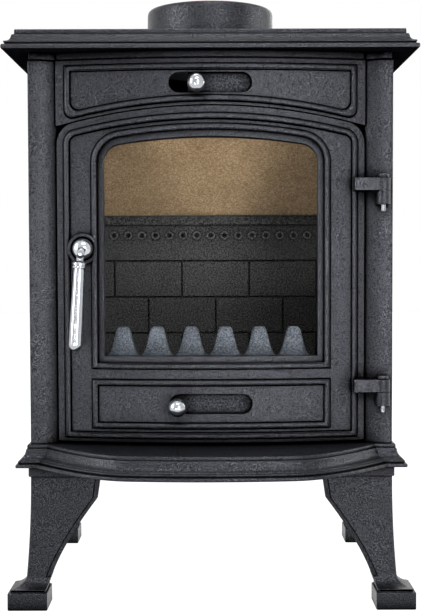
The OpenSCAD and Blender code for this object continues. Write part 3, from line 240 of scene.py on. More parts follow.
stove_paint = cast_iron_paint("charcoal stove paint on cast iron", "#010102", "#222328")
slide_paint = cast_iron_paint("charcoal paint on the air slides", "#090a0c", "#232529", 2.0, 0.46)
print("finishes:", stove_paint.name, "and", slide_paint.name)

# %% [markdown]
# ## Bare castings of the firebox
# Liners and grate are left as cast: grey, dull and dusty, with a coarser grain. The log fence
# is drawn slate blue and paler than the liners; the blue is a painted reflection of the window
# glass in front of it. The rims of the air holes are scaled paler than the liner they stand on.
# All are the same kind of surface as the plates, with less gloss and the same painted shade in
# their hollows, so the same function makes them.

# %% Firebox castings
firebox_iron = cast_iron_paint("as-cast iron of the firebox", "#1d1d20", "#47474a", 1.8, 0.6)
# Painted reflection: the fence's slate blue stands in for the reflection in the window glass in front of
# it.
fence_reflection_iron = cast_iron_paint("blue oxide skin of the log fence", "#434a58", "#697182", 1.6, 0.42, 2.5)
rim_iron = cast_iron_paint("scaled iron of the air hole rims", "#34363a", "#74777c", 1.8, 0.5, 2.5)
print("castings:", firebox_iron.name, "and", fence_reflection_iron.name, "and", rim_iron.name)

# %% [markdown]
# ## Chromed brass, steel and sheet
# The hub of the handle is turned brass, polished and chrome plated, so it is a mirror with a
# trace of blur. Knobs and grip are brushed before plating, which spreads their highlights a
# little more. The hinge pins are turned steel, which looks greyer and softer than chrome. The
# bolts are zinc-plated steel that overspray has dulled to a plain grey. The ash pan is dark
# sheet with scuffs drawn out along its width, so its pattern is stretched ten times that way.

# %% Metals
PAN_SCUFF_STRETCH = (0.1, 1, 1)

def bright_metal(name, dark, light, roughness, scuff_mm, stretch=(1, 1, 1)):
    material = new_material(name)
    place = add_node(material, "ShaderNodeTexCoord")
    drawn = add_node(material, "ShaderNodeMapping", {"Vector": place.outputs["Object"], "Scale": stretch})
    scuffs = add_node(material, "ShaderNodeTexNoise", {"Vector": drawn, "Scale": 1 / (scuff_mm * MM)})
    blur = add_node(material, MAP_RANGE, {
        "Value": scuffs, "From Min": 0.3, "From Max": 0.7,
        "To Min": roughness * 0.7, "To Max": roughness * 1.3})
    tint = add_node(material, "ShaderNodeValToRGB", {"Fac": scuffs}, [(0.2, dark), (0.8, light)])
    bump = add_node(material, "ShaderNodeBump", {
        "Strength": 0.02, "Distance": roughness * 0.1 * MM, "Height": scuffs})
    metal = add_node(material, "ShaderNodeBsdfPrincipled", {
        "Base Color": tint, "Metallic": 1.0, "Roughness": blur, "Normal": bump})
    add_node(material, "ShaderNodeOutputMaterial", {"Surface": metal})
    return material

chrome = bright_metal("polished chrome plate", "#b6b9bd", "#c8cbce", 0.13, 8.0)
brushed_chrome = bright_metal("brushed chrome plate", "#a6a9ae", "#babdc2", 0.16, 5.0)
bright_steel = bright_metal("turned bright steel", "#6a6d71", "#84878b", 0.25, 3.0)
bolt_steel = bright_metal("dulled zinc-plated steel", "#4c4e52", "#6c6f74", 0.42, 1.5)
pan_sheet = bright_metal("scuffed steel sheet", "#3a3c40", "#5a5d62", 0.48, 2.0, PAN_SCUFF_STRETCH)
print("metals:", chrome.name, "to", pan_sheet.name)

# %% [markdown]
# ## The vermiculite board
# The baffle over the fire is a pressed board of vermiculite. It is tan, matt and made of
# flakes about a millimetre across, some darker and some bright, so each cell of a Voronoi
# pattern is one flake. A slow, warm change of tone keeps the large area from looking printed.

# %% Board
FLAKE_MM = 1.2
WARM_PATCH_MM = 40.0

def vermiculite():
    material = new_material("pressed vermiculite board")
    place = add_node(material, "ShaderNodeTexCoord").outputs["Object"]
    flakes = add_node(material, "ShaderNodeTexVoronoi", {"Vector": place, "Scale": 1 / (FLAKE_MM * MM)})
    grey = add_node(material, "ShaderNodeRGBToBW", {"Color": flakes.outputs["Color"]})
    flake_colour = add_node(material, "ShaderNodeValToRGB", {"Fac": grey}, [
        (0.1, "#94816a"), (0.5, "#c2ad94"), (0.9, "#ecdccb")])
    clouds = add_node(material, "ShaderNodeTexNoise", {
        "Vector": place, "Scale": 1 / (WARM_PATCH_MM * MM), "Detail": 3.0})
    warm = add_node(material, "ShaderNodeValToRGB", {"Fac": clouds}, [(0.3, "#ead9c4"), (0.7, "#fff1e0")])
    colour = add_node(material, "ShaderNodeMix", {
        "Factor": 1.0, MIX_A: flake_colour, MIX_B: warm}, data_type="RGBA", blend_type="MULTIPLY")
    bump = add_node(material, "ShaderNodeBump", {"Strength": 0.5, "Distance": 0.3 * MM, "Height": grey})
    pressed = add_node(material, "ShaderNodeBsdfPrincipled", {
        "Base Color": colour.outputs[MIX_RESULT], "Roughness": 0.9, "Normal": bump})
    add_node(material, "ShaderNodeOutputMaterial", {"Surface": pressed})
    return material

board = vermiculite()
print("board:", board.name)

# %% [markdown]
# ## Window glass and glass fibre
# The window is clear glass ceramic, 4 mm thick with a faint warm tint. A full glass shader
# would bend the view twice and light the firebox poorly, so the pane is a clear sheet that
# mirrors a small share, more towards its edge-on views. Rope and tape are made of glass
# fibre yarn dyed charcoal, which looks matt and a little furry.

# %% Glass and yarn
HAZE_MM = 60.0
YARN_MM = 0.9

def stove_glass():
    material = new_material("clear glass ceramic")
    place = add_node(material, "ShaderNodeTexCoord").outputs["Object"]
    haze = add_node(material, "ShaderNodeTexNoise", {
        "Vector": place, "Scale": 1 / (HAZE_MM * MM), "Detail": 3.0})
    blur = add_node(material, MAP_RANGE, {"Value": haze, "To Min": 0.0, "To Max": 0.04})
    mirrored = add_node(material, "ShaderNodeBsdfGlossy", {"Color": linear("#ffffff"), "Roughness": blur})
    clear = add_node(material, "ShaderNodeBsdfTransparent", {"Color": linear("#fdfdfa")})
    share = add_node(material, "ShaderNodeFresnel", {"IOR": 1.12})
    pane = add_node(material, "ShaderNodeMixShader", {"Fac": share, 1: clear, 2: mirrored})
    add_node(material, "ShaderNodeOutputMaterial", {"Surface": pane})
    return material

def glass_fibre():
    material = new_material("charcoal glass fibre yarn")
    place = add_node(material, "ShaderNodeTexCoord").outputs["Object"]
    fibres = add_node(material, "ShaderNodeTexNoise", {"Vector": place, "Scale": 1 / (YARN_MM * MM)})
    colour = add_node(material, "ShaderNodeValToRGB", {"Fac": fibres}, [(0.3, "#2c2c2d"), (0.7, "#5a5a58")])
    bump = add_node(material, "ShaderNodeBump", {"Strength": 0.5, "Distance": 0.3 * MM, "Height": fibres})
    yarn = add_node(material, "ShaderNodeBsdfPrincipled", {
        "Base Color": colour, "Roughness": 0.95, "Normal": bump, "Sheen Weight": 0.2})
    add_node(material, "ShaderNodeOutputMaterial", {"Surface": yarn})
    return material

window_glass = stove_glass()
rope_yarn = glass_fibre()
print("pane and yarn:", window_glass.name, "and", rope_yarn.name)

# %% [markdown]
# ## A finish for every imported node
# Plain plates such as sides, back, frame and liners are right as packed, so they only need
# their finish. The record says which slot each node belongs to, and the slot names the
# finish. The log fence has a finish of its own, tinted blue as a painted reflection of the glass.

# %% Finishes of the imported nodes
FINISH = {
    "iron_paint": stove_paint, "bare_iron": firebox_iron, "slide_paint": slide_paint,
    "bolt_steel": bolt_steel, "pan_steel": pan_sheet, "chrome_plate": chrome,
    "fire_board": board, "stove_glass": window_glass, "glass_fibre": rope_yarn,
}
for part in frame["record"]["subparts"]:
    mesh = frame["nodes"][part["node"]].data
    mesh.materials.clear()
    mesh.materials.append(fence_reflection_iron if part["node"] == "log_fence" else FINISH[part["material_slot"]])

# %% [markdown]
# ## Outlines of the bowed front
# Door and front are curved about one upright axis behind the stove, and their outlines are
# arched panels seen straight from the front. The same few outlines, drawn in by an inset,
# give every bead, so a moulding is a stack of outlines at different insets and heights.
# Numbers here are in millimetres, and the model's own are used.

# %% Outline functions
BOW_R, BOW_CENTRE = 690.0, 570.0
ARCH_R = 650.0
DOOR_HALF, DOOR_LOW, DOOR_TOP, DOOR_CORNER = 160.0, 172.5, 519.3, 22.0
WINDOW_HALF, WINDOW_LOW, WINDOW_TOP, WINDOW_CORNER = 111.0, 261.5, 488.5, 19.0
WINDOW_ARCH_R = ARCH_R - (DOOR_TOP - WINDOW_TOP)

def arc(cx, cz, radius, start, end, steps):
    turns = [math.radians(start + (end - start) * i / steps) for i in range(steps + 1)]
    return [(cx + radius * math.cos(t), cz + radius * math.sin(t)) for t in turns]

def arched(half, low, high, radius, corner):
    cz, fx, reach = high - radius, half - corner, radius - corner
    fz = cz + math.sqrt(reach ** 2 - fx ** 2)
    lean = math.degrees(math.acos(fx / reach))
    return ([(-half, low), (half, low)] + arc(fx, fz, corner, 0, lean, 14)
            + arc(0, cz, radius, lean, 180 - lean, 60) + arc(-fx, fz, corner, 180 - lean, 180, 14))

def over_arch(half, top, crown, radius, corner):
    cz, fx, reach = crown - radius, half - corner, radius + corner
    fz = cz + math.sqrt(reach ** 2 - fx ** 2)
    lean = math.degrees(math.acos(fx / reach))
    return ([(-half, top), (half, top)] + arc(fx, fz, corner, 0, lean - 180, 14)
            + arc(0, cz, radius, lean, 180 - lean, 60) + arc(-fx, fz, corner, -lean, -180, 14))

def frame_rectangle(half, low, high):
    across = [half * (i / 20 - 1) for i in range(41)]
    return [(x, low) for x in across] + [(-x, high) for x in across]

def door_outline(inset, foot):
    corner = max(DOOR_CORNER - inset, 1)
    return arched(DOOR_HALF - inset, DOOR_LOW + foot, DOOR_TOP - inset, ARCH_R - inset, corner)

def window_outline(out):
    return arched(WINDOW_HALF + out, WINDOW_LOW - out, WINDOW_TOP + out, WINDOW_ARCH_R + out,
                  WINDOW_CORNER + out)

def on_bow(x, z, height):
    radius = BOW_R + height
    return (x * MM, (BOW_CENTRE - math.sqrt(radius ** 2 - x ** 2)) * MM, z * MM)

print("door outline:", len(door_outline(0, 0)), "points")

# %% [markdown]
# ## Lofting
# A moulding is lofted: each outline becomes a ring of points, and neighbouring rings are
# joined with quads. Where the path is closed the last ring joins the first, and otherwise
# the ends can be capped. Normals are made to point outwards at the end, and edges sharper
# than a given angle stay crisp.

# %% Loft helpers
def finish_piece(name, mesh, body, smooth_below):
    mesh.name = name
    mesh.shade_smooth()
    mesh.set_sharp_from_angle(angle=math.radians(smooth_below))
    piece = bpy.data.objects.new(name, mesh)
    bpy.context.scene.collection.objects.link(piece)
    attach(piece, body)
    print(name, "faces:", len(mesh.polygons))
    return piece

def make_piece(name, sheet, material, body, smooth_below):
    bmesh.ops.remove_doubles(sheet, verts=sheet.verts, dist=0.001 * MM)
    bmesh.ops.recalc_face_normals(sheet, faces=sheet.faces)
    mesh = bpy.data.meshes.new(name)
    sheet.to_mesh(mesh)
    sheet.free()
    mesh.materials.append(material)
    return finish_piece(name, mesh, body, smooth_below)

def loft(sheet, rings, close_path=True, cap_ends=False):
    rows = [[sheet.verts.new(p) for p in ring] for ring in rings]
    count = len(rows[0])
    pairs = list(zip(rows, rows[1:])) + ([(rows[-1], rows[0])] if close_path else [])
    for a, b in pairs:
        for i in range(count):
            j = (i + 1) % count
            sheet.faces.new((a[i], a[j], b[j], b[i]))
    if cap_ends:
        sheet.faces.new(rows[0])
        sheet.faces.new(rows[-1][::-1])

def level_ring(outline, z):
    return [(x * MM, y * MM, z * MM) for x, y in outline]

def stack(sheet, rings):
    loft(sheet, rings, close_path=False, cap_ends=True)

print("loft helpers:", loft.__name__, "and", stack.__name__)

# %% [markdown]
# ## Beads of the door and the front
# A raised bead runs round the door, the window, the lower panel and the top panel. In the
# pattern shop it is a half-round strip laid beside two sunk lines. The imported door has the
# sunk lines and a stepped bead; the strip here covers that bead with a true half round.

# %% Beads
BEAD_W, BEAD_LAP = 5.4, 0.15
BEAD_ROOT, BEAD_SPRING, BEAD_RISE = -1.6, 0.9, 2.1
DOOR_BEAD_IN, DOOR_BEAD_FOOT, WINDOW_BEAD_OUT = 7.6, 4.2, 12.4
LOW_PANEL_HALF, LOW_PANEL_LOW, LOW_PANEL_HIGH = 123.4, 186.9, 237.1
TOP_PANEL_HALF, TOP_PANEL_HIGH, TOP_PANEL_CROWN, TOP_PANEL_CORNER = 151.3, 562.0, 524.5, 9.0
TOP_PANEL_ARCH_R = ARCH_R + TOP_PANEL_CROWN - DOOR_TOP

def bead_profile():
    half = BEAD_W / 2 + BEAD_LAP
    turns = [math.radians(a) for a in range(0, 181, 15)]
    dome = [(half - half * math.cos(t) - BEAD_LAP, BEAD_SPRING + BEAD_RISE * math.sin(t)) for t in turns]
    return [(-BEAD_LAP, BEAD_ROOT)] + dome + [(BEAD_W + BEAD_LAP, BEAD_ROOT)]

def add_beads(name, outlines, body):
    sheet = bmesh.new()
    for outline in outlines:
        loft(sheet, [[on_bow(x, z, height) for x, z in outline(inset)] for inset, height in bead_profile()])
    make_piece(name, sheet, stove_paint, body, 50)

add_beads("door_beads", [
    lambda d: door_outline(DOOR_BEAD_IN + d, DOOR_BEAD_FOOT + d),
    lambda d: window_outline(WINDOW_BEAD_OUT - d),
    lambda d: frame_rectangle(LOW_PANEL_HALF - d, LOW_PANEL_LOW + d, LOW_PANEL_HIGH - d)], "door")
add_beads("top_panel_bead", [
    lambda d: over_arch(TOP_PANEL_HALF - d, TOP_PANEL_HIGH - d, TOP_PANEL_CROWN + d,
                        TOP_PANEL_ARCH_R + d, TOP_PANEL_CORNER)], "root")

# %% [markdown]
# ## Moulded edges
# In the pattern shop a moulding is swept with a template. The template here is a short list
# of corners, each an inset and a height, and this helper eases every corner into a curve
# that starts and ends at most 3 mm from it. A long ogee is then only three corners.

# %% Edge template
EASE_REACH = 3.0
EASE_STEPS = 3

def eased(corners):
    points = [corners[0]]
    for before, corner, after in zip(corners, corners[1:], corners[2:]):
        into = min(EASE_REACH / math.dist(before, corner), 0.5)
        out_of = min(EASE_REACH / math.dist(corner, after), 0.5)
        for i in range(EASE_STEPS + 1):
            t = i / EASE_STEPS
            points.append(tuple(
                c + (b - c) * into * (1 - t) ** 2 + (a - c) * out_of * t ** 2
                for b, c, a in zip(before, corner, after)))
    return points + [corners[-1]]

print("a right angle eased:", len(eased([(0, 0), (0, 9), (9, 9)])), "points")

# %% [markdown]
# ## The plan of the base
# The base swells forward in a bow. Seen from above, the middle is an arc. From each corner a
# sweep runs forward to it, steep at the corner and nearly level where it meets the arc, as a
# sine is over its first quarter. So one sine gives each sweep, and no points are typed in.

# %% Base plan
BASE_HALF, BASE_NOSE, BASE_CORNER, BASE_REAR = 203.5, -199.0, -119.0, 188.0
BASE_BOW_R, SHOULDER_X, SWEEP_X = 715.0, 80.0, 182.0
SWEEP_TURN = math.radians(84.5)

def base_plan(inset):
    nose, corner, sweep = BASE_NOSE + inset, BASE_CORNER + inset, SWEEP_X - inset
    shoulder = nose + BASE_BOW_R - math.sqrt(BASE_BOW_R ** 2 - SHOULDER_X ** 2)
    shares = [math.sin(SWEEP_TURN * i / 30) / math.sin(SWEEP_TURN) for i in range(31)]
    right = [(sweep + (SHOULDER_X - sweep) * i / 30, corner + (shoulder - corner) * share)
             for i, share in enumerate(shares)]
    bow = [(x, nose + BASE_BOW_R - math.sqrt(BASE_BOW_R ** 2 - x ** 2))
           for x in [SHOULDER_X * (1 - i / 12) for i in range(1, 24)]]
    left = [(-x, y) for x, y in reversed(right)]
    side, rear = BASE_HALF - inset, BASE_REAR - inset
    return [(side, corner)] + right + bow + left + [(-side, corner), (-side, rear), (side, rear)]

print("base plan:", len(base_plan(0)), "points")

# %% [markdown]
# ## The base casting
# Its edge is a bead at the foot, a small step, a tall ogee and a stepped fillet under the
# body. Each point of the eased template becomes one ring of the plan, drawn in by its inset.
# Below, the plate is hollow as cast. Pads take the legs, and two runners carry the ash pan.

# %% Base casting
LEG_H = 145.8
BODY_HALF, BODY_FRONT, BODY_REAR = 189.0, -106.0, 184.0
HOLLOW = [(24.0, 14.7), (24.0, 0.2), (23.0, 0.0)]
BASE_EDGE = eased([
    (1.0, 0.0), (0.0, 0.4), (0.0, 3.5), (1.5, 4.0), (3.0, 4.1), (2.8, 5.0), (2.4, 5.1), (2.4, 7.2),
    (4.1, 7.3), (4.3, 8.3), (8.0, 10.6), (9.5, 16.0), (10.1, 18.9), (11.4, 19.1), (10.8, 19.9),
    (10.9, 22.6), (12.2, 23.4), (14.5, 23.72)])
PAD_INNER_X, PAD_DEPTH, PAD_LOW, PAD_HIGH = 113.0, 76.0, LEG_H + 0.1, LEG_H + 15
PAD_YS = (-110.0, 100.0)
RUNNER_X, RUNNER_W = 91.0, 8.0
RUNNER_FRONT, RUNNER_REAR, RUNNER_LOW, RUNNER_HIGH = -70.0, 116.7, 168.0, 184.5

def add_block(sheet, x0, x1, y0, y1, z0, z1):
    corners = [(x0, y0), (x1, y0), (x1, y1), (x0, y1)]
    stack(sheet, [level_ring(corners, z) for z in (z0, z1)])

sheet = bmesh.new()
stack(sheet, [level_ring(base_plan(inset), LEG_H + z) for inset, z in HOLLOW + BASE_EDGE])
for side in (-1, 1):
    for y in PAD_YS:
        add_block(sheet, side * (BODY_HALF - 0.5), side * PAD_INNER_X, y, y + PAD_DEPTH,
                  PAD_LOW, PAD_HIGH)
    add_block(sheet, side * RUNNER_X, side * (RUNNER_X + RUNNER_W), RUNNER_FRONT, RUNNER_REAR,
              RUNNER_LOW, RUNNER_HIGH)
base = make_piece("base_casting", sheet, stove_paint, "root", 24)
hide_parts("base_plate")

# %% [markdown]
# ## The coved columns
# Each front column has a broad face that turns inwards to meet the bowed front, like a
# stretched cove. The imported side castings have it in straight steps. The curve is worked out
# once and used twice: for a thin skin that lies on the column and rounds it, and for the
# shallow skirt under the hob, which follows columns and front.

# %% Column faces
COLUMN_W, COVE_DEPTH, COVE_POWER = 28.0, 7.5, 2.6
SKIN_BACK, SKIN_LOW, SKIN_HIGH, SKIN_EASE = -95.0, 169.4, 567.4, 0.3

def column_curve(inset):
    steps = [i / 18 for i in range(1, 19)]
    cove = [(BODY_HALF - COLUMN_W * t - inset, BODY_FRONT - 0.1 + COVE_DEPTH * t ** COVE_POWER + inset)
            for t in steps]
    side = BODY_HALF + 0.05 - inset
    return [(side, BODY_FRONT + 1.4 + inset), (side - 0.4, BODY_FRONT + 0.4 + inset)] + cove

def add_column(name, side):
    ring = [(BODY_HALF - 0.4, SKIN_BACK)] + column_curve(0) + [(BODY_HALF - COLUMN_W, SKIN_BACK)]
    levels = [(SKIN_LOW, SKIN_EASE), (SKIN_LOW + 0.4, 0.0), (SKIN_HIGH - 0.4, 0.0), (SKIN_HIGH, SKIN_EASE)]
    sheet = bmesh.new()
    stack(sheet, [
        level_ring([(side * min(x, BODY_HALF + 0.05 - inset), y + inset) for x, y in ring], z)
        for z, inset in levels])
    make_piece(name, sheet, stove_paint, "root", 24)

add_column("column_face_left", -1)
add_column("column_face_right", 1)

# %% [markdown]
# ## The hob casting
# The hob's edge has, from below, a rounded band, a narrow bead, a cove and a thin fillet. It
# runs round all four sides with mitred corners. The flue hole goes through the plate, so the
# two flat faces are filled between the outline and the hole. Four bosses under the plate take
# the tie rods.

# %% Hob casting
HOB_HALF, HOB_FRONT, HOB_REAR, HOB_UNDER, HOB_T = 212.5, -131.0, 199.0, 576.0, 21.5
HOB_TOP = HOB_UNDER + HOB_T
FLUE_Y, FLUE_HOLE = 49.0, 61.5
BOSS_X, BOSS_YS, BOSS_R, BOSS_LOW, BOSS_HIGH = 175.0, (-16.0, 84.0), 6.5, 558.0, 576.5
HOB_EDGE = eased([
    (1.0, 0.0), (0.0, 0.4), (0.0, 3.6), (1.3, 4.9), (3.5, 5.1), (3.4, 6.3), (2.6, 6.4), (2.5, 8.3),
    (5.3, 8.6), (8.9, 11.0), (9.6, 16.1), (12.4, 16.3), (12.1, 17.2), (12.3, 21.3), (13.5, 21.5)])
SKIRT = [(1.3, 576.2), (1.0, 575.6), (1.0, 569.6), (1.4, 569.1), (12.0, 569.1), (12.0, 576.2)]

def hob_plan(inset):
    x, front, rear = HOB_HALF - inset, HOB_FRONT + inset, HOB_REAR - inset
    return [(x, front), (x, rear), (-x, rear), (-x, front)]

def skirt_plan(inset):
    right = column_curve(inset)
    bow = [(x, BOW_CENTRE - math.sqrt(BOW_R ** 2 - x ** 2) + inset)
           for x in [(DOOR_HALF + 0.4 - inset) * (1 - i / 20) for i in range(41)]]
    left = [(-x, y) for x, y in reversed(right)]
    side, rear = BODY_HALF - inset, BODY_REAR - inset
    return right + bow + left + [(-side, rear), (side, rear)]

def circle(cx, cy, radius, steps=96):
    turns = [2 * math.pi * i / steps for i in range(steps)]
    return [(cx + radius * math.cos(t), cy + radius * math.sin(t)) for t in turns]

def pierced_face(sheet, outline, hole, z):
    edges = []
    for ring in (outline, hole):
        verts = [sheet.verts.new(p) for p in level_ring(ring, z)]
        edges += [sheet.edges.new((a, b)) for a, b in zip(verts, verts[1:] + verts[:1])]
    bmesh.ops.triangle_fill(sheet, use_beauty=True, edges=edges)

sheet = bmesh.new()
flue_hole = circle(0, FLUE_Y, FLUE_HOLE)
loft(sheet, [level_ring(hob_plan(inset), HOB_UNDER + z) for inset, z in HOB_EDGE], close_path=False)
loft(sheet, [level_ring(flue_hole, z) for z in (HOB_UNDER, HOB_TOP)], close_path=False)
pierced_face(sheet, hob_plan(HOB_EDGE[0][0]), flue_hole, HOB_UNDER)
pierced_face(sheet, hob_plan(HOB_EDGE[-1][0]), flue_hole, HOB_TOP)
loft(sheet, [level_ring(skirt_plan(inset), z) for inset, z in SKIRT])
for x in (-BOSS_X, BOSS_X):
    for y in BOSS_YS:
        stack(sheet, [level_ring(circle(x, y, BOSS_R, 32), z) for z in (BOSS_LOW, BOSS_HIGH)])
hob = make_piece("hob_casting", sheet, stove_paint, "root", 24)
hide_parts("top_plate")

# %% [markdown]
# ## The outline of a leg
# Each leg is an angle-section casting: two webs meet at the outer corner, and the inner edge
# of each sweeps in from a knee to a slim ankle in a shallow arc. The width at a height comes
# from that curve, and the outer corner leans out a little towards the foot. A sunk line and
# a bevelled strip follow the inner edge.

# %% Leg outline
LEG_TOP, WEB, ANKLE, ANKLE_Z, KNEE, KNEE_Z, BULGE = 135.8, 9.0, 21.0, 31.0, 69.5, 112.5, 7.0
KNEE_FLARE, ANKLE_FLARE, ANKLE_RUN, FOOT_TOP = 3.5, 4.5, 12.0, 21.0
CORNER_LEAN, FOOT_SPREAD, SPREAD_FROM = 4.2, 15.3, 34.0
LEG_EASE, LEG_STRIP, LEG_LINE, LEG_BEVEL, WEB_FILLET = 1.2, 4.4, 1.2, 3.0, 1.5

def leg_curve():
    run, rise = KNEE - ANKLE, KNEE_Z - ANKLE_Z
    chord = math.hypot(run, rise)
    points = []
    for i in range(61):
        t = i / 60
        swell = BULGE * 4 * t * (1 - t)
        points.append((KNEE_Z - rise * t + swell * run / chord - swell,
                       KNEE - run * t - swell * rise / chord))
    return points

LEG_CURVE = leg_curve()

def leg_edge(z):
    if z >= KNEE_Z:
        return KNEE + KNEE_FLARE * (z - KNEE_Z) / (LEG_TOP - KNEE_Z)
    if z <= ANKLE_Z:
        return ANKLE - ANKLE_FLARE * (ANKLE_Z - z) / ANKLE_RUN
    for (high, wide), (low, slim) in zip(LEG_CURVE, LEG_CURVE[1:]):
        if low <= z <= high:
            return slim + (wide - slim) * (z - low) / max(high - low, 1e-6)
    return ANKLE

def leg_corner(z):
    if z >= SPREAD_FROM:
        return -CORNER_LEAN * ((LEG_TOP - z) / (LEG_TOP - SPREAD_FROM)) ** 2
    t = min((SPREAD_FROM - z) / (SPREAD_FROM - FOOT_TOP), 1)
    return -CORNER_LEAN - FOOT_SPREAD * (1 - math.sqrt(max(1 - t * t, 0)))

def leg_ring(z):
    o, w = leg_corner(z), leg_edge(z)
    solid = z < ANKLE_Z - 0.5
    strip, line, bevel = (LEG_EASE, 0.0, LEG_EASE) if solid else (LEG_STRIP, LEG_LINE, LEG_BEVEL)
    ankle = [(w, w - 2.0), (w - 1.0, w - 1.0), (w - 1.0, w - 1.0), (w - 2.0, w)]
    angle = [(w, WEB), (WEB + WEB_FILLET, WEB), (WEB, WEB + WEB_FILLET), (WEB, w)]
    front = [(w - strip - 1.2, o), (w - strip - 0.5, o + line), (w - strip, o + line * 0.4), (w, o + bevel)]
    side = [(v, u) for u, v in reversed(front)]
    return [(o + LEG_EASE, o)] + front + (ankle if solid else angle) + side + [(o, o + LEG_EASE)]

print("knee to ankle:", round(leg_edge(KNEE_Z), 1), "to", round(leg_edge(ANKLE_Z), 1), "mm wide")

# %% [markdown]
# ## Four legs from one outline
# A leg is lofted from the foot up. A stepped square pad and a square flange with eased edges
# close it below and above. One function makes each leg in a corner of its own and then moves
# its points to the corner of the stove where it stands, so all four are true mirror images.

# %% Legs
LEG_CORNER_X, LEG_FRONT_Y, LEG_REAR_Y = 189.0, -110.0, 176.0
LEG_LEVELS = ([19.0, 20.5, 21.0, 21.3, 21.8, 22.5, 23.5, 25, 27, 29, 30.4, 30.6]
              + [32 + (KNEE_Z - 32) * i / 40 for i in range(41)] + [KNEE_Z + 0.6, KNEE_Z + 8, LEG_TOP])
FOOT_PAD = [(-21.4, 18.4, 0.0), (-22, 19, 0.6), (-22, 19, 17.4), (-21.5, 18.5, 18.0), (-19.8, 16.8, 18.2),
            (-19.5, 16.5, 18.6), (-19.5, 16.5, 20.6), (-19.2, 16.2, 21.0)]
TOP_FLANGE = [(-1.6, 73.6, 135.6), (-2, 74, 136.2), (-2, 74, 145.1), (-1.5, 73.5, 145.7)]
PAD_CORNER_CUT = 0.8

def square_ring(low, high, z):
    near, far = low + PAD_CORNER_CUT, high - PAD_CORNER_CUT
    return [(near, low, z), (far, low, z), (high, near, z), (high, far, z),
            (far, high, z), (near, high, z), (low, far, z), (low, near, z)]

def add_leg(name, side, rear):
    sheet = bmesh.new()
    stack(sheet, [[(u, v, z) for u, v in leg_ring(max(z, FOOT_TOP))] for z in LEG_LEVELS])
    stack(sheet, [square_ring(*row) for row in FOOT_PAD])
    stack(sheet, [square_ring(*row) for row in TOP_FLANGE])
    for vert in sheet.verts:
        u, v, z = vert.co
        y = LEG_REAR_Y - v if rear else LEG_FRONT_Y + v
        vert.co = (side * (LEG_CORNER_X - u) * MM, y * MM, z * MM)
    piece = make_piece(name + "_casting", sheet, stove_paint, "root", 30)
    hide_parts(name)

for side, side_name in ((-1, "left"), (1, "right")):
    add_leg("leg_front_" + side_name, side, False)
    add_leg("leg_rear_" + side_name, side, True)

# %% [markdown]
# ## Knobs
# The air knobs are turned on a lathe: a thin stem and a ball. So each is a profile of radius
# and length, spun about an axis that points out of the front. The stem goes through the slot
# of the plate into the slide behind it.

# %% Knobs
KNOB_L = 29.0
STEM = [(2.0, -4.0), (2.2, -3.5), (2.2, 0), (3.0, 0), (3.2, 0.3), (3.2, 9.5), (3.9, 11.0)]
KNOB_R, KNOB_CENTRE = 9.8, 19.2

def spin(sheet, profile, place, turns=48):
    angles = [2 * math.pi * i / turns for i in range(turns)]
    stack(sheet, [
        [place @ Vector((radius * MM * math.cos(t), radius * MM * math.sin(t), along * MM)) for t in angles]
        for radius, along in profile])

def facing_front(x, y, z):
    return Matrix.Translation((x * MM, y * MM, z * MM)) @ Matrix.Rotation(math.radians(90), 4, "X")

def ball(radius, centre, start, steps=20):
    turns = [math.radians(start + (89.5 - start) * i / steps) for i in range(steps + 1)]
    return [(radius * math.cos(t), centre + radius * math.sin(t)) for t in turns]

def add_knob(name, node, body, x, z):
    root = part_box(node)[0].y / MM + KNOB_L
    sheet = bmesh.new()
    spin(sheet, STEM + ball(KNOB_R, KNOB_CENTRE, -62), facing_front(x, root, z))
    piece = make_piece(name, sheet, brushed_chrome, body, 40)
    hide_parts(node)

add_knob("top_knob_turning", "top_air_knob", "top_slide", -14.0, 541.1)
add_knob("bottom_knob_turning", "bottom_air_knob", "bottom_slide", -34.4, 210.4)

# %% [markdown]
# ## The lever handle
# The handle has a domed hub on a spindle, a thin neck that curves out and down, a grooved
# ferrule and a barrel grip that swells towards its rounded end. Hub and grip are spun as the
# knobs are. The neck is a rod bent through a quarter circle that gets thinner on its way,
# so it is a stack of circles square to that bend. The whole lever leans a few degrees.

# %% Handle
HANDLE_X, HANDLE_Z, HANDLE_LEAN = -132.5, 373.3, 3.3
HUB_R, HUB_FLANK, HUB_DOME = 10.9, 4.0, 9.0
NECK_START, NECK_OUT, NECK_DROP, NECK_R, NECK_SWELL = 2.0, 19.0, 20.0, 3.6, 1.2
GRIP_R, GRIP_SWELL, GRIP_FROM, GRIP_TAPER, GRIP_L = 6.2, 1.0, 22, 60, 76
TIP_R, TIP_CENTRE, HANDLE_END = 7.2, 97.3, 104.5
FERRULE = [(3.5, 12.5), (4.6, 12.7), (5.2, 13.2), (7.0, 14.0), (7.4, 14.6), (7.4, 16.2), (6.7, 16.7),
           (6.7, 17.4), (7.4, 17.9), (7.4, 19.2), (6.9, 19.9), (5.9, 20.2), (5.9, 21.2), (6.2, 21.6)]
face_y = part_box("door_handle")[1].y / MM

def add_hub():
    sheet = bmesh.new()
    turns = [math.radians(a) for a in range(6, 90, 6)]
    dome = [(HUB_R * math.cos(t), HUB_FLANK + HUB_DOME * math.sin(t)) for t in turns]
    spin(sheet, [(HUB_R - 0.5, 0.0), (HUB_R, 0.5), (HUB_R, HUB_FLANK)] + dome
         + [(0.3, HUB_FLANK + HUB_DOME)], facing_front(HANDLE_X, face_y, HANDLE_Z))
    make_piece("handle_hub_turning", sheet, chrome, "handle", 40)

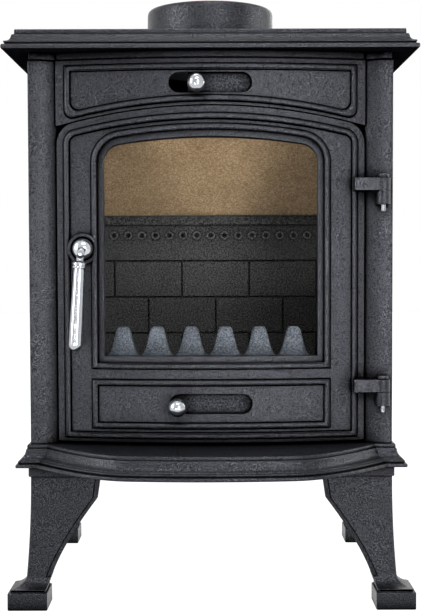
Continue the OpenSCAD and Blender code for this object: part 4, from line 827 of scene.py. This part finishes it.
def neck_rings(place):
    rings = []
    for i in range(11):
        slope = math.radians(9 * i)
        out = NECK_START + NECK_OUT * math.sin(slope)
        middle = Vector((0, -out, -NECK_DROP * (1 - math.cos(slope))))
        across = Vector((0, math.sin(slope), math.cos(slope)))
        radius = NECK_R + NECK_SWELL * (1 - i / 10) ** 2
        turns = [2 * math.pi * k / 32 for k in range(32)]
        round_it = [Vector((1, 0, 0)) * math.cos(t) + across * math.sin(t) for t in turns]
        rings.append([place @ ((middle + way * radius) * MM) for way in round_it])
    return rings

def add_grip():
    sheet = bmesh.new()
    lean = Matrix.Translation((HANDLE_X * MM, (face_y - 4) * MM, HANDLE_Z * MM)) @ Matrix.Rotation(
        math.radians(HANDLE_LEAN), 4, "Y")
    stack(sheet, neck_rings(lean))
    barrel = [(GRIP_R + GRIP_SWELL * (1 - math.cos(math.pi * min(t / GRIP_TAPER, 1))) / 2, GRIP_FROM + t)
              for t in range(0, GRIP_L, 3)]
    turns = [math.radians(a) for a in range(6, 90, 6)]
    tip = [(TIP_R * math.cos(t), TIP_CENTRE + TIP_R * math.sin(t)) for t in turns]
    below_neck = lean @ Matrix.Translation((0, -(NECK_OUT + NECK_START) * MM, 0))
    downwards = Matrix.Rotation(math.radians(180), 4, "X")
    spin(sheet, FERRULE + barrel + tip + [(0.3, HANDLE_END)], below_neck @ downwards)
    piece = make_piece("handle_grip_turning", sheet, brushed_chrome, "handle", 40)
    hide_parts("door_handle")

add_hub()
add_grip()

# %% [markdown]
# ## The flue collar
# The collar is turned after casting, so its wall is smooth and its top edge is eased. A
# flange at its foot is bolted to the hob. It is one closed section carried round the flue's
# axis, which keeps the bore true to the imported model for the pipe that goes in.

# %% Collar
COLLAR_SECTION = [
    (64.5, 0.0), (91.2, 0.0), (92.0, 0.8), (92.0, 7.0), (91.2, 7.9), (75.0, 8.0), (73.6, 8.5),
    (72.9, 9.8), (72.5, 20.0), (72.2, 43.0), (72.0, 45.4), (71.3, 47.3), (70.0, 48.6), (68.4, 49.0),
    (66.0, 49.0), (64.9, 48.6), (64.5, 47.6)]
COLLAR_TURNS = 96

def collar_ring(turn):
    return [(r * math.cos(turn) * MM, (FLUE_Y + r * math.sin(turn)) * MM, (HOB_TOP + z) * MM)
            for r, z in COLLAR_SECTION]

sheet = bmesh.new()
loft(sheet, [collar_ring(2 * math.pi * i / COLLAR_TURNS) for i in range(COLLAR_TURNS)])
collar = make_piece("collar_turning", sheet, stove_paint, "root", 40)
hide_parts("flue_collar")

# %% [markdown]
# ## Hinge pins
# The door lifts off two plain turned pins. The head of each was painted with the door's
# knuckle, and the bright tail shows below the lug. Painted head and bright pin are two
# pieces, because a piece has one finish.

# %% Hinge pins
PIN_X, PIN_Y, PIN_TOPS, PIN_L = 178.0, -114.0, (241.2, 449.6), 39.0
PIN_PROFILE = [(1.6, 0.0), (2.5, 0.9), (2.5, 7.5), (3.0, 7.9), (3.0, 35.2), (5.4, 35.2), (5.4, 38.6)]
HEAD_PROFILE = [(5.2, 35.0), (6.0, 35.5), (6.0, 37.4), (5.4, 38.4), (3.6, 38.9), (0.4, 39.0)]

pins, heads = bmesh.new(), bmesh.new()
for top in PIN_TOPS:
    upright = Matrix.Translation((PIN_X * MM, PIN_Y * MM, (top - PIN_L) * MM))
    spin(pins, PIN_PROFILE, upright, 32)
    spin(heads, HEAD_PROFILE, upright, 32)
pin_turning = make_piece("hinge_pin_turning", pins, bright_steel, "root", 40)
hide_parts("hinge_pins")
make_piece("hinge_pin_heads", heads, stove_paint, "root", 40)

# %% [markdown]
# ## Geometry Nodes for what repeats
# Bolts, the rims of air holes, rope yarns and the fence's teeth repeat by a rule, so each
# is a small node tree with its sizes as named inputs. A seed object carries the tree, its
# result is taken as a plain mesh, and the seed is thrown away.

# %% Tree helpers
def new_tree(name, sizes):
    tree = bpy.data.node_groups.new(name, "GeometryNodeTree")
    tree.interface.new_socket("Geometry", in_out="INPUT", socket_type="NodeSocketGeometry")
    for size_name, kind in sizes.items():
        tree.interface.new_socket(size_name, in_out="INPUT", socket_type="NodeSocket" + kind)
    tree.interface.new_socket("Material", in_out="INPUT", socket_type="NodeSocketMaterial")
    tree.interface.new_socket("Geometry", in_out="OUTPUT", socket_type="NodeSocketGeometry")
    return tree, add_node(tree, "NodeGroupInput").outputs

def end_tree(tree, start, geometry):
    real = add_node(tree, "GeometryNodeRealizeInstances", {"Geometry": geometry})
    painted = add_node(tree, "GeometryNodeSetMaterial", {"Geometry": real, "Material": start["Material"]})
    add_node(tree, "NodeGroupOutput", {0: painted})
    return tree

def seed_points(name, points, closed=False):
    mesh = bpy.data.meshes.new(name + "_seed")
    count = len(points)
    edges = [(i, (i + 1) % count) for i in range(count)] if closed else []
    mesh.from_pydata([(x * MM, y * MM, z * MM) for x, y, z in points], edges, [])
    return mesh

def grow(name, seed_mesh, tree, sizes, body, slot, smooth_below=35):
    seed = bpy.data.objects.new(name + "_seed", seed_mesh)
    bpy.context.scene.collection.objects.link(seed)
    modifier = seed.modifiers.new(name, "NODES")
    modifier.node_group = tree
    for item in tree.interface.items_tree:
        if item.in_out == "INPUT" and item.name in sizes:
            modifier[item.identifier] = sizes[item.name]
    bpy.context.view_layer.update()
    grown = seed.evaluated_get(bpy.context.evaluated_depsgraph_get())
    mesh = bpy.data.meshes.new_from_object(grown)
    seed.modifiers.remove(modifier)
    bpy.data.objects.remove(seed)
    return finish_piece(name, mesh, body, smooth_below)

print("tree helpers:", new_tree.__name__, "and", grow.__name__)

# %% [markdown]
# ## Hex bolts
# Every bolt is a forged hexagon with its upper corners chamfered, on a plain shank. The tree
# extrudes a hexagon twice and draws the second top in for the chamfer. The shank starts half
# way up inside the head, so that the two are one body to the eye. One bolt is set on each
# point that the tree is given.

# %% Bolt tree
def bolt_head(tree, start):
    hexagon = add_node(tree, "GeometryNodeMeshCircle", {"Vertices": 6, "Radius": start["Head radius"]},
                       fill_type="NGON")
    flank_h = add_node(tree, MATH, {0: start["Head height"], 1: start["Chamfer"]}, operation="SUBTRACT")
    flank = add_node(tree, "GeometryNodeExtrudeMesh", {
        "Mesh": hexagon, "Offset Scale": flank_h, "Individual": False})
    crown = add_node(tree, "GeometryNodeExtrudeMesh", {
        "Mesh": flank, "Selection": flank.outputs["Top"], "Offset Scale": start["Chamfer"],
        "Individual": False})
    cut = add_node(tree, MATH, {0: start["Chamfer"], 1: start["Head radius"]}, operation="DIVIDE")
    kept = add_node(tree, MATH, {0: 1.0, 1: cut}, operation="SUBTRACT")
    drawn_in = add_node(tree, "GeometryNodeScaleElements", {
        "Geometry": crown, "Selection": crown.outputs["Top"], "Scale": kept})
    seat = add_node(tree, "GeometryNodeFlipFaces", {"Mesh": hexagon})
    return [drawn_in, seat]

def bolt_shank(tree, start):
    disc = add_node(tree, "GeometryNodeMeshCircle", {"Vertices": 24, "Radius": start["Shank radius"]},
                    fill_type="NGON")
    tip = add_node(tree, "GeometryNodeFlipFaces", {"Mesh": disc})
    inside = add_node(tree, MATH, {0: start["Head height"], 1: 0.5}, operation="MULTIPLY")
    length = add_node(tree, MATH, {0: start["Shank length"], 1: inside}, operation="ADD")
    rod = add_node(tree, "GeometryNodeExtrudeMesh", {
        "Mesh": disc, "Offset Scale": length, "Individual": False})
    whole = add_node(tree, "GeometryNodeJoinGeometry", {0: [rod, tip]})
    down = add_node(tree, MATH, {0: start["Shank length"], 1: -1.0}, operation="MULTIPLY")
    drop = add_node(tree, "ShaderNodeCombineXYZ", {"Z": down})
    return add_node(tree, "GeometryNodeTransform", {"Geometry": whole, "Translation": drop})

def bolt_tree():
    tree, start = new_tree("hex bolts", {
        "Head radius": "Float", "Head height": "Float", "Chamfer": "Float",
        "Shank radius": "Float", "Shank length": "Float", "Turn": "Vector"})
    pieces = bolt_head(tree, start) + [bolt_shank(tree, start)]
    whole = add_node(tree, "GeometryNodeJoinGeometry", {0: pieces})
    closed = add_node(tree, "GeometryNodeMergeByDistance", {"Geometry": whole, "Distance": 0.01 * MM})
    turn = add_node(tree, "FunctionNodeEulerToRotation", {0: start["Turn"]})
    bolts = add_node(tree, "GeometryNodeInstanceOnPoints", {
        "Points": start["Geometry"], "Instance": closed, "Rotation": turn})
    return end_tree(tree, start, bolts)

HEX_BOLTS = bolt_tree()
print("bolt tree:", len(HEX_BOLTS.nodes), "nodes")

# %% [markdown]
# ## Bolts where they are screwed in
# Three bolts hold the collar, two the plate over the unused rear outlet and one each leg.
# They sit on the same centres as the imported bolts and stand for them, and each set is turned
# so that its heads lie on the face they clamp.

# %% Bolts in place
FLANGE_TOP = HOB_TOP + 8.0
COLLAR_BOLT_R = 82.0
BLANKING_X, BLANKING_FACE_Y, BLANKING_Z = 82.0, 190.0, 492.0
LEG_BOLT_X, LEG_BOLT_YS = 159.0, (-80.0, 146.0)
M6_HEAD_R, M6_HEAD_H, M6_SHANK_R = 5.6, 4.0, 3.0
M8_HEAD_R, M8_HEAD_H, M8_SHANK_R = 7.5, 5.3, 4.0
BOLT_CHAMFER = 0.8

def add_bolts(node, points, turn_x, head_r, head_h, shank_r, shank_l):
    sizes = {
        "Head radius": head_r * MM, "Head height": head_h * MM, "Chamfer": BOLT_CHAMFER * MM,
        "Shank radius": shank_r * MM, "Shank length": shank_l * MM,
        "Turn": (math.radians(turn_x), 0, 0), "Material": bolt_steel}
    bolts = grow(node + "_forged", seed_points(node, points), HEX_BOLTS, sizes, "root", "bolt_steel")
    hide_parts(node)

collar_points = [(COLLAR_BOLT_R * math.cos(math.radians(a)),
                  FLUE_Y + COLLAR_BOLT_R * math.sin(math.radians(a)), FLANGE_TOP) for a in (90, 210, 330)]
blanking_points = [(x, BLANKING_FACE_Y, BLANKING_Z) for x in (-BLANKING_X, BLANKING_X)]
leg_points = [(x, y, LEG_TOP) for x in (-LEG_BOLT_X, LEG_BOLT_X) for y in LEG_BOLT_YS]
add_bolts("collar_bolts", collar_points, 0, M6_HEAD_R, M6_HEAD_H, M6_SHANK_R, 29.4)
add_bolts("blanking_bolts", blanking_points, -90, M6_HEAD_R, M6_HEAD_H, M6_SHANK_R, 21.9)
add_bolts("leg_bolts", leg_points, 180, M8_HEAD_R, M8_HEAD_H, M8_SHANK_R, 16.6)

# %% [markdown]
# ## Rims of the air holes
# The rear liner has a row of air holes for the upper flames. Each hole has a raised, rounded
# rim left by the core print. The tree sets a ring on each point of a line of given pitch.

# %% Hole rims
def rim_tree():
    tree, start = new_tree("hole rims", {
        "Count": "Int", "Pitch": "Float", "Rim radius": "Float", "Rim thickness": "Float",
        "Row centre": "Vector"})
    gaps = add_node(tree, MATH, {0: start["Count"], 1: 1.0}, operation="SUBTRACT")
    span = add_node(tree, MATH, {0: start["Pitch"], 1: gaps}, operation="MULTIPLY")
    half = add_node(tree, MATH, {0: span, 1: -0.5}, operation="MULTIPLY")
    first = add_node(tree, "ShaderNodeCombineXYZ", {"X": half})
    step = add_node(tree, "ShaderNodeCombineXYZ", {"X": start["Pitch"]})
    row = add_node(tree, "GeometryNodeMeshLine", {
        "Count": start["Count"], "Start Location": first, "Offset": step})
    path = add_node(tree, "GeometryNodeCurvePrimitiveCircle", {
        "Resolution": 36, "Radius": start["Rim radius"]})
    wire = add_node(tree, "GeometryNodeCurvePrimitiveCircle", {
        "Resolution": 12, "Radius": start["Rim thickness"]})
    ring = add_node(tree, "GeometryNodeCurveToMesh", {"Curve": path, "Profile Curve": wire})
    facing = add_node(tree, "GeometryNodeTransform", {
        "Geometry": ring, "Rotation": (math.radians(90), 0, 0)})
    rings = add_node(tree, "GeometryNodeInstanceOnPoints", {"Points": row, "Instance": facing})
    moved = add_node(tree, "GeometryNodeTransform", {"Geometry": rings, "Translation": start["Row centre"]})
    return end_tree(tree, start, moved)

rim_sizes = {
    "Count": 15, "Pitch": 17.2 * MM, "Rim radius": 4.1 * MM, "Rim thickness": 1.2 * MM,
    "Row centre": (0, 144.9 * MM, 390.5 * MM), "Material": rim_iron}
grow("air_hole_rims", seed_points("air_hole_rims", [(0, 0, 0)]), rim_tree(), rim_sizes,
     "root", "bare_iron", 60)

# %% [markdown]
# ## The door's rope seal
# The seal is a flattened rope of four glass fibre yarns laid round one another, pressed into
# a groove behind the door's edge. Each yarn follows the same closed path and circles it a
# whole number of times, so the ends meet. The section is wider than it is deep, as the rope
# is once the door has been shut on it.

# %% Rope tree
YARNS = 4

def rope_tree():
    tree, start = new_tree("laid rope", {
        "Turns": "Int", "Half width": "Float", "Half depth": "Float", "Yarn radius": "Float"})
    loop = add_node(tree, "GeometryNodeMeshToCurve", {"Mesh": start["Geometry"]})
    path = add_node(tree, "GeometryNodeResampleCurve", {"Curve": loop, "Count": 1000})
    way = add_node(tree, "GeometryNodeInputTangent")
    across = add_node(tree, "ShaderNodeVectorMath", {0: way, 1: (0, 1, 0)}, operation="CROSS_PRODUCT")
    travel = add_node(tree, "GeometryNodeSplineParameter").outputs["Factor"]
    laps = add_node(tree, MATH, {0: travel, 1: start["Turns"]}, operation="MULTIPLY")
    turned = add_node(tree, MATH, {0: laps, 1: 2 * math.pi}, operation="MULTIPLY")
    yarn = add_node(tree, "GeometryNodeCurvePrimitiveCircle", {
        "Resolution": 6, "Radius": start["Yarn radius"]})
    strands = []
    for k in range(YARNS):
        angle = add_node(tree, MATH, {0: turned, 1: 2 * math.pi * k / YARNS}, operation="ADD")
        cosine = add_node(tree, MATH, {0: angle}, operation="COSINE")
        sine = add_node(tree, MATH, {0: angle}, operation="SINE")
        wide = add_node(tree, MATH, {0: cosine, 1: start["Half width"]}, operation="MULTIPLY")
        deep = add_node(tree, MATH, {0: sine, 1: start["Half depth"]}, operation="MULTIPLY")
        sideways = add_node(tree, "ShaderNodeVectorMath", {0: across, "Scale": wide}, operation="SCALE")
        inward = add_node(tree, "ShaderNodeCombineXYZ", {"Y": deep})
        offset = add_node(tree, "ShaderNodeVectorMath", {0: sideways, 1: inward}, operation="ADD")
        strand = add_node(tree, "GeometryNodeSetPosition", {"Geometry": path, "Offset": offset})
        strands.append(add_node(tree, "GeometryNodeCurveToMesh", {"Curve": strand, "Profile Curve": yarn}))
    whole = add_node(tree, "GeometryNodeJoinGeometry", {0: strands})
    return end_tree(tree, start, whole)

ROPE_INSET, ROPE_FOOT, ROPE_HEIGHT = 11.0, 6.1, -8.0
rope_path = [[v / MM for v in on_bow(x, z, ROPE_HEIGHT)] for x, z in door_outline(ROPE_INSET, ROPE_FOOT)]
rope_sizes = {
    "Turns": 96, "Half width": 2.0 * MM, "Half depth": 0.45 * MM, "Yarn radius": 1.2 * MM,
    "Material": rope_yarn}
rope = grow("laid_rope", seed_points("laid_rope", rope_path, closed=True), rope_tree(), rope_sizes,
            "door", "glass_fibre", 60)
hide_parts("door_rope")

# %% [markdown]
# ## The log fence
# The fence is one casting whose top edge follows a rule: the same tooth at a fixed pitch,
# with a rounded crown, a steep flank and a flared foot. The tree sweeps a rounded section
# along a line. Then it moves each point: the lower half of the section stays level, and the
# upper half is lifted to the height that the rule gives at that place.

# %% Fence height rule
TOOTH_FALL_SHARES = [(0.24, 0.0), (0.35, 0.06), (0.56, 0.5), (0.76, 0.86), (0.9, 0.97)]

def tooth_height(tree, start, x):
    along = add_node(tree, MATH, {0: x, 1: start["First tooth"]}, operation="SUBTRACT")
    pitches = add_node(tree, MATH, {0: along, 1: start["Pitch"]}, operation="DIVIDE")
    nearest = add_node(tree, MATH, {0: pitches}, operation="ROUND")
    last = add_node(tree, MATH, {0: start["Teeth"], 1: 1.0}, operation="SUBTRACT")
    not_past = add_node(tree, MATH, {0: nearest, 1: last}, operation="MINIMUM")
    number = add_node(tree, MATH, {0: not_past, 1: 0.0}, operation="MAXIMUM")
    middle = add_node(tree, MATH, {0: number, 1: start["Pitch"], 2: start["First tooth"]},
                      operation="MULTIPLY_ADD")
    beside = add_node(tree, MATH, {0: x, 1: middle}, operation="SUBTRACT")
    away = add_node(tree, MATH, {0: beside}, operation="ABSOLUTE")
    half_pitch = add_node(tree, MATH, {0: start["Pitch"], 1: 0.5}, operation="MULTIPLY")
    share = add_node(tree, MATH, {0: away, 1: half_pitch}, operation="DIVIDE")
    within = add_node(tree, MATH, {0: share, 1: 1.0}, operation="MINIMUM")
    fall = add_node(tree, "ShaderNodeFloatCurve", {"Value": within})
    outline = fall.mapping.curves[0]
    outline.points[0].location = (0.0, 0.0)
    outline.points[1].location = (1.0, 1.0)
    for at, fallen in TOOTH_FALL_SHARES:
        outline.points.new(at, fallen)
    fall.mapping.update()
    drop = add_node(tree, MATH, {0: fall, 1: start["Valley depth"]}, operation="MULTIPLY")
    return add_node(tree, MATH, {0: start["Top"], 1: drop}, operation="SUBTRACT")

print("tooth outline:", len(TOOTH_FALL_SHARES) + 2, "points from crown to valley")

# %% [markdown]
# ## Sweeping the fence
# The swept section is taller than its rounded edges by far, so that only the two edges meet
# the curve and the flat between them is stretched. Its ends are filled.

# %% Fence tree
def fence_tree():
    tree, start = new_tree("toothed fence", {
        "Half length": "Float", "Thickness": "Float", "Edge round": "Float", "Pitch": "Float",
        "First tooth": "Float", "Teeth": "Int", "Top": "Float", "Valley depth": "Float",
        "Low": "Float", "Front": "Float"})
    left_x = add_node(tree, MATH, {0: start["Half length"], 1: -1.0}, operation="MULTIPLY")
    left = add_node(tree, "ShaderNodeCombineXYZ", {"X": left_x})
    right = add_node(tree, "ShaderNodeCombineXYZ", {"X": start["Half length"]})
    line = add_node(tree, "GeometryNodeCurvePrimitiveLine", {"Start": left, "End": right})
    path = add_node(tree, "GeometryNodeResampleCurve", {"Curve": line, "Count": 561})
    deep = add_node(tree, MATH, {0: start["Edge round"], 1: 40.0}, operation="MULTIPLY")
    half_deep = add_node(tree, MATH, {0: deep, 1: 0.5}, operation="MULTIPLY")
    box = add_node(tree, "GeometryNodeCurvePrimitiveQuadrilateral", {
        "Width": start["Thickness"], "Height": deep})
    section = add_node(tree, "GeometryNodeFilletCurve", {
        "Curve": box, "Radius": start["Edge round"], "Count": 4}, mode="POLY")
    bar = add_node(tree, "GeometryNodeCurveToMesh", {
        "Curve": path, "Profile Curve": section, "Fill Caps": True})
    place = add_node(tree, "GeometryNodeInputPosition")
    x, y, z = add_node(tree, "ShaderNodeSeparateXYZ", {"Vector": place}).outputs
    from_top = add_node(tree, MATH, {0: z, 1: half_deep}, operation="SUBTRACT")
    from_foot = add_node(tree, MATH, {0: z, 1: half_deep}, operation="ADD")
    lifted = add_node(tree, MATH, {0: tooth_height(tree, start, x), 1: from_top}, operation="ADD")
    level = add_node(tree, MATH, {0: start["Low"], 1: from_foot}, operation="ADD")
    upper = add_node(tree, MATH, {0: z, 1: 0.0}, operation="GREATER_THAN")
    height = add_node(tree, "ShaderNodeMix", {0: upper, 2: level, 3: lifted})
    half_thick = add_node(tree, MATH, {0: start["Thickness"], 1: 0.5}, operation="MULTIPLY")
    from_front = add_node(tree, MATH, {0: y, 1: half_thick}, operation="ADD")
    depth = add_node(tree, MATH, {0: start["Front"], 1: from_front}, operation="ADD")
    spot = add_node(tree, "ShaderNodeCombineXYZ", {"X": x, "Y": depth, "Z": height})
    shaped = add_node(tree, "GeometryNodeSetPosition", {"Geometry": bar, "Position": spot})
    return end_tree(tree, start, shaped)

fence_sizes = {
    "Half length": 140 * MM, "Thickness": 7 * MM, "Edge round": 1.3 * MM, "Pitch": 36.6 * MM,
    "First tooth": -94.3 * MM, "Teeth": 6, "Top": 289.5 * MM, "Valley depth": 31 * MM,
    "Low": 225.5 * MM, "Front": -70 * MM, "Material": fence_reflection_iron}
fence = grow("fence_casting", seed_points("fence_casting", [(0, 0, 0)]), fence_tree(), fence_sizes,
             "root", "bare_iron", 40)
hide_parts("log_fence")

# %% [markdown]
# ## Floor and background
# The floor is a plain pale sheet that keeps the stove's shadow. Sheet and world are white
# where the camera looks at them, straight, through glass or in a mirror, and the world is dim
# to everything else. So metal and glass show the white background, and no more light than
# the lamps give falls on the black iron.

# %% Floor and world
FLOOR_HALF = 6
FLOOR_GLOW = 0.95
WORLD_DIM = 0.08

def seen_share(owner):
    path = add_node(owner, "ShaderNodeLightPath").outputs
    indirect = add_node(owner, MATH, {
        0: path["Is Glossy Ray"], 1: path["Is Transmission Ray"]}, operation="ADD")
    return add_node(owner, MATH, {
        0: path["Is Camera Ray"], 1: indirect}, operation="ADD", use_clamp=True)

def pale_floor():
    material = new_material("pale studio floor")
    matt = add_node(material, "ShaderNodeBsdfPrincipled", {
        "Base Color": linear("#8c8c8c"), "Roughness": 0.9})
    glow = add_node(material, MATH, {0: seen_share(material), 1: FLOOR_GLOW}, operation="MULTIPLY")
    white = add_node(material, "ShaderNodeEmission", {"Color": linear("#ffffff"), "Strength": glow})
    both = add_node(material, "ShaderNodeAddShader", {0: matt, 1: white})
    add_node(material, "ShaderNodeOutputMaterial", {"Surface": both})
    sheet = bmesh.new()
    bmesh.ops.create_grid(sheet, x_segments=1, y_segments=1, size=FLOOR_HALF)
    mesh = bpy.data.meshes.new("floor")
    sheet.to_mesh(mesh)
    sheet.free()
    mesh.materials.append(material)
    floor = bpy.data.objects.new("floor", mesh)
    bpy.context.scene.collection.objects.link(floor)

def studio_world():
    world = bpy.data.worlds.new("studio")
    bpy.context.scene.world = world
    world.use_nodes = True
    world.node_tree.nodes.clear()
    level = add_node(world, MAP_RANGE, {"Value": seen_share(world), "To Min": WORLD_DIM})
    light = add_node(world, "ShaderNodeBackground", {"Color": linear("#ffffff"), "Strength": level})
    add_node(world, "ShaderNodeOutputWorld", {"Surface": light})

pale_floor()
studio_world()
bpy.context.scene.view_settings.view_transform = "Standard"
print("background:", bpy.context.scene.world.name)
